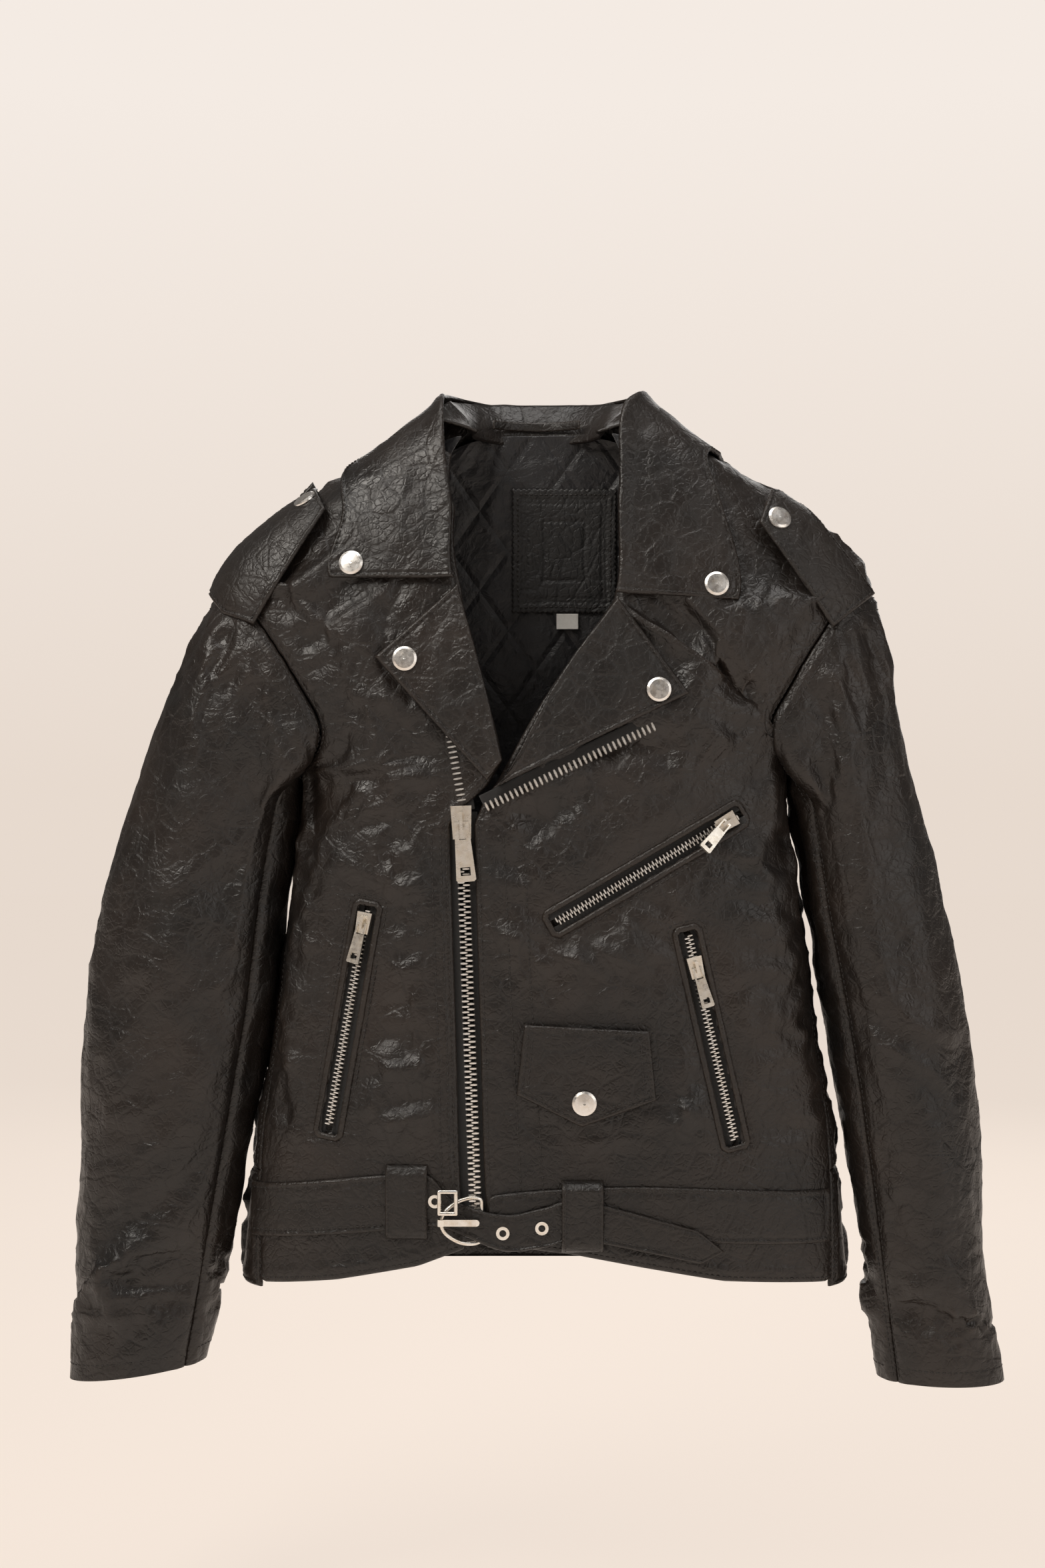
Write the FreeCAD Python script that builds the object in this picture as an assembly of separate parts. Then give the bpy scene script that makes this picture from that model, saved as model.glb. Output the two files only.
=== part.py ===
import FreeCAD, Part
import math
import os

from FreeCAD import Vector

# Leather riding jacket, in millimetres.  +X is the wearer's left, +Y points to the wearer's back and
# +Z is up.  The origin is the bearing point of the hang loop, at the centre of the back neck seam.
# "right" and "left" in the names are the wearer's right (-X) and left (+X).

# ---- layers of the garment: distance outward from the leather's outer face --------------------------
LEATHER = 2.0
LINING_OUTER = -12.4
LINING_INNER = -14.4
LABEL_OUTER = -14.8
LABEL_INNER = -16.4
POCKET_BAG = (-9.4, -8.0)
TAPE = (-3.2, -2.4)
FRAME = (0.3, 1.6)
POUCH = (0.4, 3.4)
FLAP = (3.9, 5.7)
LAPEL = (6.0, 7.8)
COLLAR = (3.0, 5.0)
EPAULETTE = (3.0, 5.0)
BELT_UNDER = (0.6, 2.8)
BELT_OVER = (3.4, 5.4)

# ---- torso: sections (height, half width, front depth, back depth) about the side plane ---------------
SIDE_Y = -38.0
TORSO_X = 5.0
TORSO_POWER = 3.2
TORSO_SECTIONS = (
    (-560, 190, 64, 49),
    (-450, 180, 65.4, 52),
    (-390, 166, 66.2, 53),
    (-327, 158, 67, 54),
    (-267, 151, 67.7, 54),
    (-236, 147, 68, 54),
    (-206, 147, 67.4, 53),
    (-180, 172, 66, 52),
    (-150, 203, 63.5, 52),
    (-118, 211, 60, 52),
    (-92, 197, 56, 52),
    (-66, 170, 52, 51),
    (-45, 139, 48, 50),
    (-25, 105, 44, 49),
    (-5, 77, 40, 48),
    (9, 59, 37, 47),
    (20, 46, 34, 45),
)
SECTION_POINTS = 28
OFFCUT = 2.0
PANEL_GAP = 0.4

# ---- hem, waist and yoke seams ------------------------------------------------------------------------
SIDE_SEAM_LOW = (-78.0, -540.0)
SIDE_SEAM_RUN = (33.0, 325.0)
BACK_HEM_Z = -536.0
WAIST_SEAM_Z = -466.0
YOKE_SEAM_Z = -118.0
FRONT_HEM = (
    (-200, -536), (-122, -528), (-72, -519), (-42, -508), (-20, -506),
    (20, -511), (62, -519), (112, -528), (160, -531), (210, -535),
)

# ---- neck opening and front edges (x, z) ----------------------------------------------------------------
NECK_HALF = (42.0, 41.0)
FOLD_RIGHT = ((-46.0, -110.0), (-21.0, -214.0))
FOLD_LEFT = ((46.0, -117.0), (-19.0, -224.0))
COLLAR_LEAF_RIGHT = ((-50, -105), (-53.5, 2), (-76, -1), (-106, -24), (-127, -98), (-124, -104))
COLLAR_LEAF_LEFT = ((47, -114), (50, 2), (78, -4), (104, -26), (112, -60), (122.5, -112), (120, -117))
LAPEL_RIGHT = ((-46, -110), (-50, -110), (-97, -152), (-30, -226), (-21, -214))
LAPEL_LEFT = ((46, -117), (50, -119), (90.5, -174), (-27, -231), (-19, -224))
EPAULETTE_RIGHT = ((-141, -38), (-128, -62), (-171, -131), (-190, -124), (-203, -108))
EPAULETTE_LEFT = ((142, -49), (155, -49), (205, -112), (178, -133), (134, -70))

# ---- zips: ends of each chain (x, z) --------------------------------------------------------------------
MAIN_TOP = (-45.6, -249.0)
MAIN_BOTTOM = (-37.0, -492.0)
RIGHT_ROW_TOP = (-58.5, -178.0)
LEFT_ROW_OUTER = (71.0, -193.0)
CHEST_OUTER = (121.0, -247.0)
CHEST_INNER = (11.0, -311.0)
HAND_RIGHT_TOP = (-103.0, -304.0)
HAND_RIGHT_BOTTOM = (-126.5, -437.0)
HAND_LEFT_TOP = (90.6, -319.0)
HAND_LEFT_BOTTOM = (119.2, -443.5)

# chain: half width, half height, tooth pitch; slider: length, half width, wall
MAIN_ZIP = dict(half=3.9, height=2.2, pitch=3.25, slider=20.0, wall=1.5, gap=0.9, pull=36.0, tab=12.0)
POCKET_ZIP = dict(half=2.75, height=1.5, pitch=2.6, slider=13.0, wall=1.2, gap=0.7, pull=25.0, tab=8.0)
SLIDER_CLEARANCE = 0.7
SLIDER_PLATE = 1.3
CHAIN_DEPTH = -2.6
CHEST_CHAIN_DEPTH = 0.4
TOOTH_REACH = 0.75
TOOTH_VALLEY = 0.95
TOOTH_CLEAR = 0.18
MAIN_SLOT = 7.6
POCKET_SLOT = 6.0
FRAME_HALF = 8.8
TAPE_HALF = 14.0

# ---- small hardware -------------------------------------------------------------------------------------
SNAP_RADIUS = 7.5
SNAP_HEIGHT = 2.6
SNAP_SHANK = 2.0
STUD_RADIUS = 3.2
EYELET_OUTER = 4.0
EYELET_BORE = 2.1
EYELET_BARREL = 2.6
BELT_WIRE = 1.2


# ---- neck label and size tag ----------------------------------------------------------------------------
LABEL_X = (-15.0, 51.0)
LABEL_Z = (-118.0, -37.0)
TAG_X = (13.0, 27.0)
TAG_Z = (-127.5, -118.5)

# ---- hang loop, which follows the inside of the collar stand --------------------------------------------
STAND_INNER = -2.5
LOOP_OFFSET = -3.6
LOOP_THICK = 1.2
LOOP_HALF = 28.0
LOOP_FOOT = 3.0
LOOP_TALL = 6.0

# ---- coin pocket, belt and loops (x, z) -----------------------------------------------------------------
COIN_FLAP = ((-8, -372), (67, -376), (71, -417.5), (26.5, -433.5), (-12.5, -414))
COIN_POUCH = ((-2, -376), (60, -380), (63, -412), (26, -426), (-6, -409))
BELT_RIGHT = (
    (-174, -473), (-92, -463), (-66, -463), (-50, -478), (-38, -480),
    (-38, -500), (-64, -494), (-92, -497), (-174, -505),
)
BELT_STEP = ((-42, -482), (-37.5, -482), (-37.5, -498), (-42, -498))
BELT_TIP = (
    (-42, -482), (-20, -486), (3, -482), (28, -478), (100, -497), (112, -509),
    (100, -516), (28, -502), (3, -506), (-20, -508), (-42, -498),
)
BELT_LEFT = (
    (178, -476), (60, -470), (-20, -474), (-29, -480),
    (-29, -498), (-20, -503), (60, -503), (178, -508),
)
LOOP_RIGHT = ((-91, -66), (-457, -502), (-460.5, -499))
LOOP_LEFT = ((14.5, 39.5), (-466, -509.5), (-469, -507.5))
EYELETS = ((-61.6, -478.5, 2.8), (-20.8, -497.0, 5.4), (2.6, -494.0, 5.4))
RING_BAR_X = -33.6
RING_HALF = 14.5
RING_REACH = 24.0
RING_TILT = 0.30

# ---- sleeves: outer and inner edge of each section (x, z), centre depth, half depth ----------------------
SLEEVE_OUTER = {
    -1: ((-203, -106), (-222.4, -154), (-248, -221), (-270, -292), (-283.6, -371),
         (-285, -447), (-287.5, -523), (-291, -597)),
    1: ((207, -113), (218, -160), (236.6, -228), (254, -295), (269, -371),
        (277, -447), (279.5, -523), (291, -598)),
}
SLEEVE_INNER = {
    -1: ((-143.5, -205), (-147, -232), (-152, -262), (-158, -308), (-165, -371),
         (-179.5, -447), (-194, -523), (-206, -585)),
    1: ((153.5, -205), (158, -232), (163, -262), (168.5, -308), (180, -371),
        (192, -447), (203, -523), (212, -596)),
}
SLEEVE_Y = (-38, -40, -42, -45, -48, -50, -52, -54)
SLEEVE_DEPTH = (45, 46, 45, 43, 41, 37, 31, 27)
ARMHOLE_TURN = 0.4
ARMHOLE_GAP = 0.8
ARMHOLE = {
    side: (Vector(SLEEVE_OUTER[side][0][0], SIDE_Y, SLEEVE_OUTER[side][0][1]),
           Vector(SLEEVE_INNER[side][0][0], SIDE_Y, SLEEVE_INNER[side][0][1]))
    for side in (-1, 1)
}
SLEEVE_LINING = (-5.0, -4.0)
CUFF_ZIP_ANGLE = 240.0
CUFF_SLIDER_INSET = 30.0

# ---- pocket zips, their sliders (start, end, swing and tilt of the pull, inset) and the snaps -----------
POCKETS = {
    "chest": (CHEST_OUTER, CHEST_INNER),
    "hand_right": (HAND_RIGHT_TOP, HAND_RIGHT_BOTTOM),
    "hand_left": (HAND_LEFT_TOP, HAND_LEFT_BOTTOM),
}
POCKET_SLIDERS = {
    ("chest_zip_slider", "chest_zip_pull"): (CHEST_OUTER, CHEST_INNER, 16.0, 26.0, 8.0),
    ("hand_zip_slider_right", "hand_zip_pull_right"): (HAND_RIGHT_TOP, HAND_RIGHT_BOTTOM, -3.0, 4.0, 8.0),
    ("hand_zip_slider_left", "hand_zip_pull_left"): (HAND_LEFT_TOP, HAND_LEFT_BOTTOM, 3.0, 4.0, 20.0),
}
SNAPS = {
    "collar_snap_right": (-112.5, -94.5, COLLAR),
    "collar_snap_left": (108.0, -107.5, COLLAR),
    "lapel_snap_right": (-79.5, -153.0, LAPEL),
    "lapel_snap_left": (72.5, -171.5, LAPEL),
    "epaulette_snap_right": (-143.0, -53.0, EPAULETTE),
    "epaulette_snap_left": (147.5, -66.0, EPAULETTE),
    "coin_flap_snap": (28.0, -419.0, FLAP),
}

BODY_CACHE = {}


# ------------------------------------------------------------------ basic helpers
def closed_spline(points):
    curve = Part.BSplineCurve()
    curve.interpolate(points, PeriodicFlag=True)
    return Part.Wire([curve.toShape()])


def signed_power(value, power):
    return math.copysign(abs(value) ** power, value)


def torso_section(height, half_width, front, back, offset):
    points = []
    for index in range(SECTION_POINTS):
        angle = 2 * math.pi * index / SECTION_POINTS
        across = signed_power(math.cos(angle), 2 / TORSO_POWER)
        depth = signed_power(math.sin(angle), 2 / TORSO_POWER)
        reach = (back if depth > 0 else front) + offset
        points.append(Vector(TORSO_X + (half_width + offset) * across, SIDE_Y + reach * depth, height))
    return closed_spline(points)


def torso_body(offset):
    """Solid torso whose skin stands `offset` outside the leather's outer face."""
    if offset not in BODY_CACHE:
        wires = []
        for number, (height, half_width, front, back) in enumerate(TORSO_SECTIONS):
            lift = offset if number == len(TORSO_SECTIONS) - 1 else 0.0
            wires.append(torso_section(height + lift, half_width, front, back, offset))
        BODY_CACHE[offset] = Part.makeLoft(wires, True, True)
    return BODY_CACHE[offset]


def sheet(outline, limits):
    """The skin of the torso's front between two offsets, inside an XZ outline."""
    inner, outer = limits
    return front_prism(outline).common(torso_body(outer)).cut(torso_body(inner))


def front_prism(outline, front=-180.0, back=SIDE_Y):
    """An XZ outline carried through the front half of the jacket."""
    corners = [Vector(x, front, z) for x, z in outline]
    face = Part.Face(Part.makePolygon(corners + corners[:1]))
    return face.extrude(Vector(0, back - front, 0))


def half_space(point, normal, size=1500.0):
    """A big block on the side of a plane that the normal points to."""
    block = Part.makeBox(size, size, size, Vector(-size / 2, -size / 2, 0))
    block.Placement = FreeCAD.Placement(point, FreeCAD.Rotation(Vector(0, 0, 1), normal))
    return block


def along(start, end, share):
    return tuple(a + (b - a) * share for a, b in zip(start, end))


def strip_outline(start, end, near, far, extend=0.0):
    """Outline between two lines parallel to start-end, at lateral distances near and far."""
    length = math.dist(start, end)
    dx, dz = (end[0] - start[0]) / length, (end[1] - start[1]) / length
    corners = []
    for distance, side in ((-extend, near), (length + extend, near), (length + extend, far), (-extend, far)):
        corners.append((start[0] + dx * distance - dz * side, start[1] + dz * distance + dx * side))
    return corners


def skin_point(x, z, offset=0.0):
    """Point of the torso's front skin at (x, z)."""
    for low, high in zip(TORSO_SECTIONS, TORSO_SECTIONS[1:]):
        if low[0] <= z <= high[0]:
            break
    share = (z - low[0]) / (high[0] - low[0])
    half_width = low[1] + (high[1] - low[1]) * share + offset
    depth = low[2] + (high[2] - low[2]) * share + offset
    across = min(1.0, abs(x - TORSO_X) / half_width)
    return Vector(x, SIDE_Y - depth * (1 - across ** TORSO_POWER) ** (1 / TORSO_POWER), z)


def skin_normal(x, z, offset=0.0):
    step = 3.0
    across = skin_point(x + step, z, offset) - skin_point(x - step, z, offset)
    upward = skin_point(x, z + step, offset) - skin_point(x, z - step, offset)
    return across.cross(upward).normalize()


def frame_at(origin, forward, normal):
    """Placement whose X runs forward, Z along the normal."""
    z_axis = Vector(normal).normalize()
    x_axis = (forward - z_axis * forward.dot(z_axis)).normalize()
    y_axis = z_axis.cross(x_axis)
    matrix = FreeCAD.Matrix(
        x_axis.x, y_axis.x, z_axis.x, origin.x,
        x_axis.y, y_axis.y, z_axis.y, origin.y,
        x_axis.z, y_axis.z, z_axis.z, origin.z,
        0, 0, 0, 1,
    )
    return FreeCAD.Placement(matrix)


def placed(shape, placement):
    moved = shape.copy()
    moved.Placement = placement.multiply(moved.Placement)
    return moved


def box(x0, x1, y0, y1, z0, z1):
    return Part.makeBox(x1 - x0, y1 - y0, z1 - z0, Vector(x0, y0, z0))


def export(name, *shapes):
    solids = []
    for shape in shapes:
        solids.extend(solid for solid in shape.Solids if solid.Volume > OFFCUT)
    group = solids[0] if len(solids) == 1 else Part.makeCompound(solids)
    group.exportStep(f"parts/{name}.step")


# ------------------------------------------------------------------ torso panels and lining
def armhole_cutter(side, gap):
    """Everything beyond the armhole plane of one side, moved inward by gap."""
    top, armpit = ARMHOLE[side]
    upward = (top - armpit).normalize()
    forward = Vector(-side * ARMHOLE_TURN, -1, 0).normalize()
    normal = upward.cross(forward)
    if normal.x * side < 0:
        normal = normal * -1
    region = half_space(armpit - normal * gap, normal)
    return region.common(box(-400, 400, -300, 300, armpit.z - 4, 200))


def neck_hole(bottom, grow=0.0):
    half_x, half_y = NECK_HALF[0] + grow, NECK_HALF[1] + grow
    disc = Part.Face(Part.Wire(Part.Ellipse(Vector(0, SIDE_Y, bottom), half_x, half_y).toShape()))
    return disc.extrude(Vector(0, 0, 120))


def front_opening():
    outline = [(-44, 60), (-51, -22), FOLD_RIGHT[0], FOLD_RIGHT[1], (-30, -230), FOLD_LEFT[1]]
    outline += [FOLD_LEFT[0], (49, -40), (44, 60)]
    return front_prism(outline)


def slot(start, end, half, extend):
    return front_prism(strip_outline(start, end, -half, half, extend), back=-60)


def side_seam_plane(shift):
    """Block behind the plane of the side and shoulder seams."""
    low = Vector(0, SIDE_SEAM_LOW[0] + shift, SIDE_SEAM_LOW[1])
    return half_space(low, Vector(0, SIDE_SEAM_RUN[1], -SIDE_SEAM_RUN[0]))


def torso_skin(inner, outer, gap):
    skin = torso_body(outer).cut(torso_body(inner))
    skin = skin.cut(neck_hole(-9)).cut(front_opening())
    skin = skin.cut(armhole_cutter(-1, gap)).cut(armhole_cutter(1, gap))
    hem = [(-260, -620)] + list(FRONT_HEM) + [(260, -620)]
    skin = skin.cut(front_prism(hem))
    return skin.cut(box(-300, 300, SIDE_Y, 120, -620, BACK_HEM_Z))


def pocket_slots(half):
    slots = []
    for start, end in POCKETS.values():
        slots.append(slot(start, end, half, 3.0))
    return slots


def front_edge_outline(side):
    """Region of the front that belongs to the wearer's right (-1) or left (+1) panel."""
    bottom = (MAIN_BOTTOM[0] - 1, MAIN_BOTTOM[1] - 80)
    path = [bottom, MAIN_TOP, (-26, -228), (-20, -219), (0, -190), (0, 80)]
    return path + [(side * 300, 80), (side * 300, bottom[1])]


def build_torso():
    skin = torso_skin(-LEATHER, 0.0, 0.6)
    front = skin.cut(side_seam_plane(-PANEL_GAP / 2))
    back = skin.common(side_seam_plane(PANEL_GAP / 2))
    for cutter in pocket_slots(POCKET_SLOT) + [slot(MAIN_TOP, MAIN_BOTTOM, MAIN_SLOT, 60)]:
        front = front.cut(cutter)
    front = front.cut(slot(MAIN_TOP, RIGHT_ROW_TOP, MAIN_SLOT - 1.5, 3.0))
    for name, side in (("front_panel_right", -1), ("front_panel_left", 1)):
        export(name, front.common(front_prism(front_edge_outline(side), back=60)))
    half_gap = PANEL_GAP / 2
    export("back_yoke", back.common(box(-300, 300, -200, 200, YOKE_SEAM_Z + half_gap, 60)))
    middle = box(-300, 300, -200, 200, WAIST_SEAM_Z + half_gap, YOKE_SEAM_Z - half_gap)
    export("back_panel", back.common(middle))
    export("back_waist_panel", back.common(box(-300, 300, -200, 200, -620, WAIST_SEAM_Z - half_gap)))


def build_lining():
    lining = torso_skin(LINING_INNER, LINING_OUTER, 1.0)
    lining = lining.cut(slot(MAIN_TOP, MAIN_BOTTOM, 8.0, 60))
    lining = lining.cut(front_prism([(-55, -190), (-55, -252), (-38, -252), (0, -190)], back=-60))
    export("body_lining", lining.cut(neck_hole(-9, 2)))


# ------------------------------------------------------------------ collar and lapels
def build_collar():
    ring = neck_hole(-8, -0.5).cut(neck_hole(-9, STAND_INNER))
    stand = ring.common(box(-100, 100, -60, 100, -8, 18))
    export("collar_stand", stand)
    behind = box(-72, 72, SIDE_Y + 0.8, 80, -46, 40)
    skin = torso_body(COLLAR[1]).cut(torso_body(COLLAR[0])).cut(neck_hole(-60, 0.5))
    export("collar_fall", skin.common(behind))
    build_flap("collar_leaf_right", COLLAR_LEAF_RIGHT, COLLAR, SNAPS["collar_snap_right"])
    build_flap("collar_leaf_left", COLLAR_LEAF_LEFT, COLLAR, SNAPS["collar_snap_left"])


def snap_placement(x, z, offset):
    point = skin_point(x, z, offset)
    normal = skin_normal(x, z, offset)
    return frame_at(point, Vector(1, 0, 0), normal)


def build_flap(name, outline, limits, snap):
    """A leather flap on the torso skin, with the hole that its snap's shank passes through."""
    flap = sheet(outline, limits)
    if snap:
        hole = Part.makeCylinder(SNAP_SHANK + 0.3, 24, Vector(0, 0, -12))
        flap = flap.cut(placed(hole, snap_placement(snap[0], snap[1], limits[1])))
    export(name, flap)


def snap_cap():
    """Domed cap with a rolled rim and its shank."""
    rim = SNAP_RADIUS
    profile = Part.makePolygon([
        Vector(0, 0, -1.6), Vector(SNAP_SHANK, 0, -1.6), Vector(SNAP_SHANK, 0, 0.5),
        Vector(rim - 0.5, 0, 0.5), Vector(rim, 0, 0.9), Vector(rim - 0.2, 0, 1.7),
        Vector(rim - 1.6, 0, SNAP_HEIGHT - 0.2), Vector(0, 0, SNAP_HEIGHT + 0.2), Vector(0, 0, -1.6),
    ])
    return Part.Face(profile).revolve(Vector(0, 0, 0), Vector(0, 0, 1), 360)


def snap_stud():
    base = Part.makeCylinder(STUD_RADIUS, 0.5, Vector(0, 0, 0.15))
    knob = Part.makeCylinder(1.4, 0.5, Vector(0, 0, 0.6))
    return base.fuse(knob)


def build_snaps():
    studs = []
    for name, (x, z, limits) in SNAPS.items():
        export(name, placed(snap_cap(), snap_placement(x, z, limits[1])))
        if limits != FLAP:
            studs.append(placed(snap_stud(), snap_placement(x, z, 0.2)))
    export("snap_studs", *studs)


# ------------------------------------------------------------------ zips
def chain_frame(start, end):
    """Local frame of a zip: X runs from start to end, Z points out of the jacket."""
    depth = CHEST_CHAIN_DEPTH if end == CHEST_INNER else CHAIN_DEPTH
    first = skin_point(*start, depth)
    last = skin_point(*end, depth)
    middle = along(start, end, 0.5)
    return frame_at(first, last - first, skin_normal(*middle)), (last - first).Length


def tooth_row(length, zipper, side, phase):
    """Comb of interlocking teeth on one side of a chain that lies along X."""
    half, height, pitch = zipper["half"], zipper["height"], zipper["pitch"]
    count = int(length / pitch)
    reach = -side * TOOTH_REACH
    valley = side * TOOTH_VALLEY
    clear = TOOTH_CLEAR
    points = [Vector(0, side * half, -height), Vector(0, valley, -height)]
    for index in range(count):
        x = pitch * (index + phase)
        points.append(Vector(x + clear, valley, -height))
        points.append(Vector(x + clear, reach, -height))
        points.append(Vector(x + pitch / 2 - clear, reach, -height))
        points.append(Vector(x + pitch / 2 - clear, valley, -height))
    points.append(Vector(pitch * (count + 0.5), side * half, -height))
    face = Part.Face(Part.makePolygon(points + points[:1]))
    return face.extrude(Vector(0, 0, 2 * height))


def chain(start, end, zipper, sides=(-1, 1)):
    frame, length = chain_frame(start, end)
    rows = []
    for side in sides:
        phase = 0.0 if side > 0 else 0.5
        rows.append(placed(tooth_row(length, zipper, side, phase), frame))
    return rows


def slider_body(zipper):
    """Slider that wraps the chain: two plates joined by side walls, and the bridge that holds the pull."""
    half = zipper["half"] + zipper["gap"] + zipper["wall"]
    inside = zipper["height"] + SLIDER_CLEARANCE
    plate = SLIDER_PLATE
    length = zipper["slider"]
    narrow = half * 0.86
    top = Part.makePolygon([
        Vector(-length / 2, -half, 0), Vector(length / 2, -narrow, 0), Vector(length / 2, narrow, 0),
        Vector(-length / 2, half, 0), Vector(-length / 2, -half, 0),
    ])
    body = Part.Face(top).extrude(Vector(0, 0, 2 * (inside + plate)))
    body.translate(Vector(0, 0, -inside - plate))
    channel = half - zipper["wall"]
    body = body.cut(box(-length, length, -channel * 0.94, channel * 0.94, -inside, inside))
    base = inside + plate
    foot = box(-length * 0.32, -length * 0.2, -0.9, 0.9, base, base + 3.4)
    head = box(length * 0.14, length * 0.24, -0.9, 0.9, base, base + 3.4)
    bar = box(-length * 0.32, length * 0.24, -0.9, 0.9, base + 2.5, base + 3.8)
    return body.fuse([foot, head, bar])


def pull_tab(zipper):
    """Pull that hangs from the slider's bridge: an eye, a neck and a plate with a square window."""
    base = zipper["height"] + SLIDER_CLEARANCE + SLIDER_PLATE
    low, high = base + 0.35, base + 1.95
    half = zipper["tab"] / 2
    length = zipper["pull"]
    one_edge = ((0.0, 0.72), (0.35, 0.8), (0.97, 1.0), (1.0, 0.8))
    corners = [Vector(length * share, half * width, low) for share, width in one_edge]
    corners += [Vector(length * share, -half * width, low) for share, width in reversed(one_edge)]
    outline = Part.makePolygon(corners + corners[:1])
    tab = Part.Face(outline).extrude(Vector(0, 0, high - low))
    eye = box(1.3, zipper["slider"] * 0.5 + 0.8, -2.1, 2.1, 0, 20)
    window = box(length * 0.76, length * 0.9, -half * 0.5, half * 0.5, 0, 20)
    return tab.cut(eye).cut(window)


def slider_frame(start, end, inset):
    """Frame of a slider that sits on its chain, inset from the chain's start."""
    frame, _ = chain_frame(start, end)
    return frame.multiply(FreeCAD.Placement(Vector(inset, 0, 0), FreeCAD.Rotation()))


def pull_frame(slider, zipper, swing, tilt):
    """Frame of a pull: turned by swing degrees from the chain, and lifted by tilt degrees about its eye."""
    turn = FreeCAD.Placement(Vector(-zipper["slider"] * 0.02, 0, 0), FreeCAD.Rotation(Vector(0, 0, 1), swing))
    lift = FreeCAD.Placement(Vector(0, 0, 0), FreeCAD.Rotation(Vector(0, 1, 0), -tilt), pull_eye(zipper))
    return slider.multiply(turn).multiply(lift)


def pull_eye(zipper):
    """Point the pull turns about, in the pull's frame."""
    return Vector(0.65, 0, zipper["height"] + 3.15)


def build_slider(names, start, end, zipper, swing, tilt, inset):
    """Slider and pull, inset along the chain from its start."""
    frame = slider_frame(start, end, inset)
    body_name, pull_name = names
    export(body_name, placed(slider_body(zipper), frame))
    export(pull_name, placed(pull_tab(zipper), pull_frame(frame, zipper, swing, tilt)))


def build_main_zip():
    tapes = []
    for side in (-1, 1):
        near, far = side * MAIN_SLOT, side * (MAIN_SLOT + TAPE_HALF)
        tapes.append(sheet(strip_outline(MAIN_TOP, MAIN_BOTTOM, near, far, -6.0), TAPE))
    closed = chain(MAIN_TOP, MAIN_BOTTOM, MAIN_ZIP)
    upper = chain(along(MAIN_TOP, RIGHT_ROW_TOP, 0.16), RIGHT_ROW_TOP, MAIN_ZIP, sides=(-1,))
    frame, length = chain_frame(MAIN_TOP, MAIN_BOTTOM)
    retainer = placed(box(length + 3.5, length + 9.5, -5.2, 5.2, -2.6, 2.4), frame)
    export("main_zip_teeth", *closed, *upper, retainer)
    build_slider(("main_zip_slider", "main_zip_pull"), MAIN_TOP, MAIN_BOTTOM, MAIN_ZIP, 3.0, 0.0, 2.0)
    return tapes


def build_lapel_zip():
    """The left half of the main zip above the slider, which lies along the left lapel's lower edge."""
    start = along(MAIN_TOP, LEFT_ROW_OUTER, 0.16)
    outline = strip_outline(start, LEFT_ROW_OUTER, -3.4, 3.4)
    row = sheet(outline, (2.2, 5.6))
    comb = []
    pitch = MAIN_ZIP["pitch"]
    for index in range(int(math.dist(start, LEFT_ROW_OUTER) / pitch)):
        point = along(start, LEFT_ROW_OUTER, (index + 0.5) * pitch / math.dist(start, LEFT_ROW_OUTER))
        notch = strip_outline(point, along(point, LEFT_ROW_OUTER, 0.001), -4.5, 0.6, 0.7)
        comb.append(front_prism(notch))
    export("lapel_zip_row", row.cut(comb))


def build_pocket_zips():
    """Chains, frames and bags of the three pockets; returns the tapes."""
    teeth, tapes, frames, bags = [], [], [], []
    for start, end in POCKETS.values():
        teeth.extend(chain(start, end, POCKET_ZIP))
        for side in (-1, 1):
            tapes.append(sheet(strip_outline(start, end, side * POCKET_SLOT, side * 12.0, 4.0), TAPE))
        ring = sheet(strip_outline(start, end, -FRAME_HALF, FRAME_HALF, 5.5), FRAME)
        frames.append(ring.cut(slot(start, end, POCKET_SLOT, 2.5)))
        bags.append(bag_sheet(start, end))
    export("pocket_zip_teeth", *teeth)
    export("pocket_frames", *frames)
    export("pocket_bags", *bags)
    for names, (start, end, swing, tilt, inset) in POCKET_SLIDERS.items():
        build_slider(names, start, end, POCKET_ZIP, swing, tilt, inset)
    return tapes


def bag_sheet(start, end):
    """Pocket bag inside the body, hanging from one long side of the zip."""
    if abs(start[0] - end[0]) > 60:
        outline = strip_outline(start, end, POCKET_SLOT + 2, 62.0, -4.0)
    else:
        side = 1 if start[0] > 0 else -1
        outline = strip_outline(start, end, side * (POCKET_SLOT + 2), side * 58.0, -4.0)
    return sheet(outline, POCKET_BAG)


# ------------------------------------------------------------------ coin pocket, epaulettes, belt
def build_coin_pocket():
    export("coin_pocket_pouch", sheet(COIN_POUCH, POUCH))
    build_flap("coin_pocket_flap", COIN_FLAP, FLAP, SNAPS["coin_flap_snap"])


def eyelet():
    flange = Part.makeCylinder(EYELET_OUTER, 0.8, Vector(0, 0, 0.1))
    barrel = Part.makeCylinder(EYELET_BARREL, 2.2, Vector(0, 0, -1.9))
    bore = Part.makeCylinder(EYELET_BORE, 6, Vector(0, 0, -3))
    return flange.fuse(barrel).cut(bore)


def loop(spans, top, tunnel_top):
    """Leather loop that bridges the belt; its two ends are sewn to the jacket."""
    (left, right), (upper, lower), (tunnel_upper, tunnel_lower) = spans
    outline = ((left, upper), (right, upper), (right, lower), (left, lower))
    tunnel = (
        (left - 5, tunnel_upper), (right + 5, tunnel_upper),
        (right + 5, tunnel_lower), (left - 5, tunnel_lower),
    )
    return sheet(outline, (0.3, top)).cut(sheet(tunnel, (-1.0, tunnel_top)))


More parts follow.
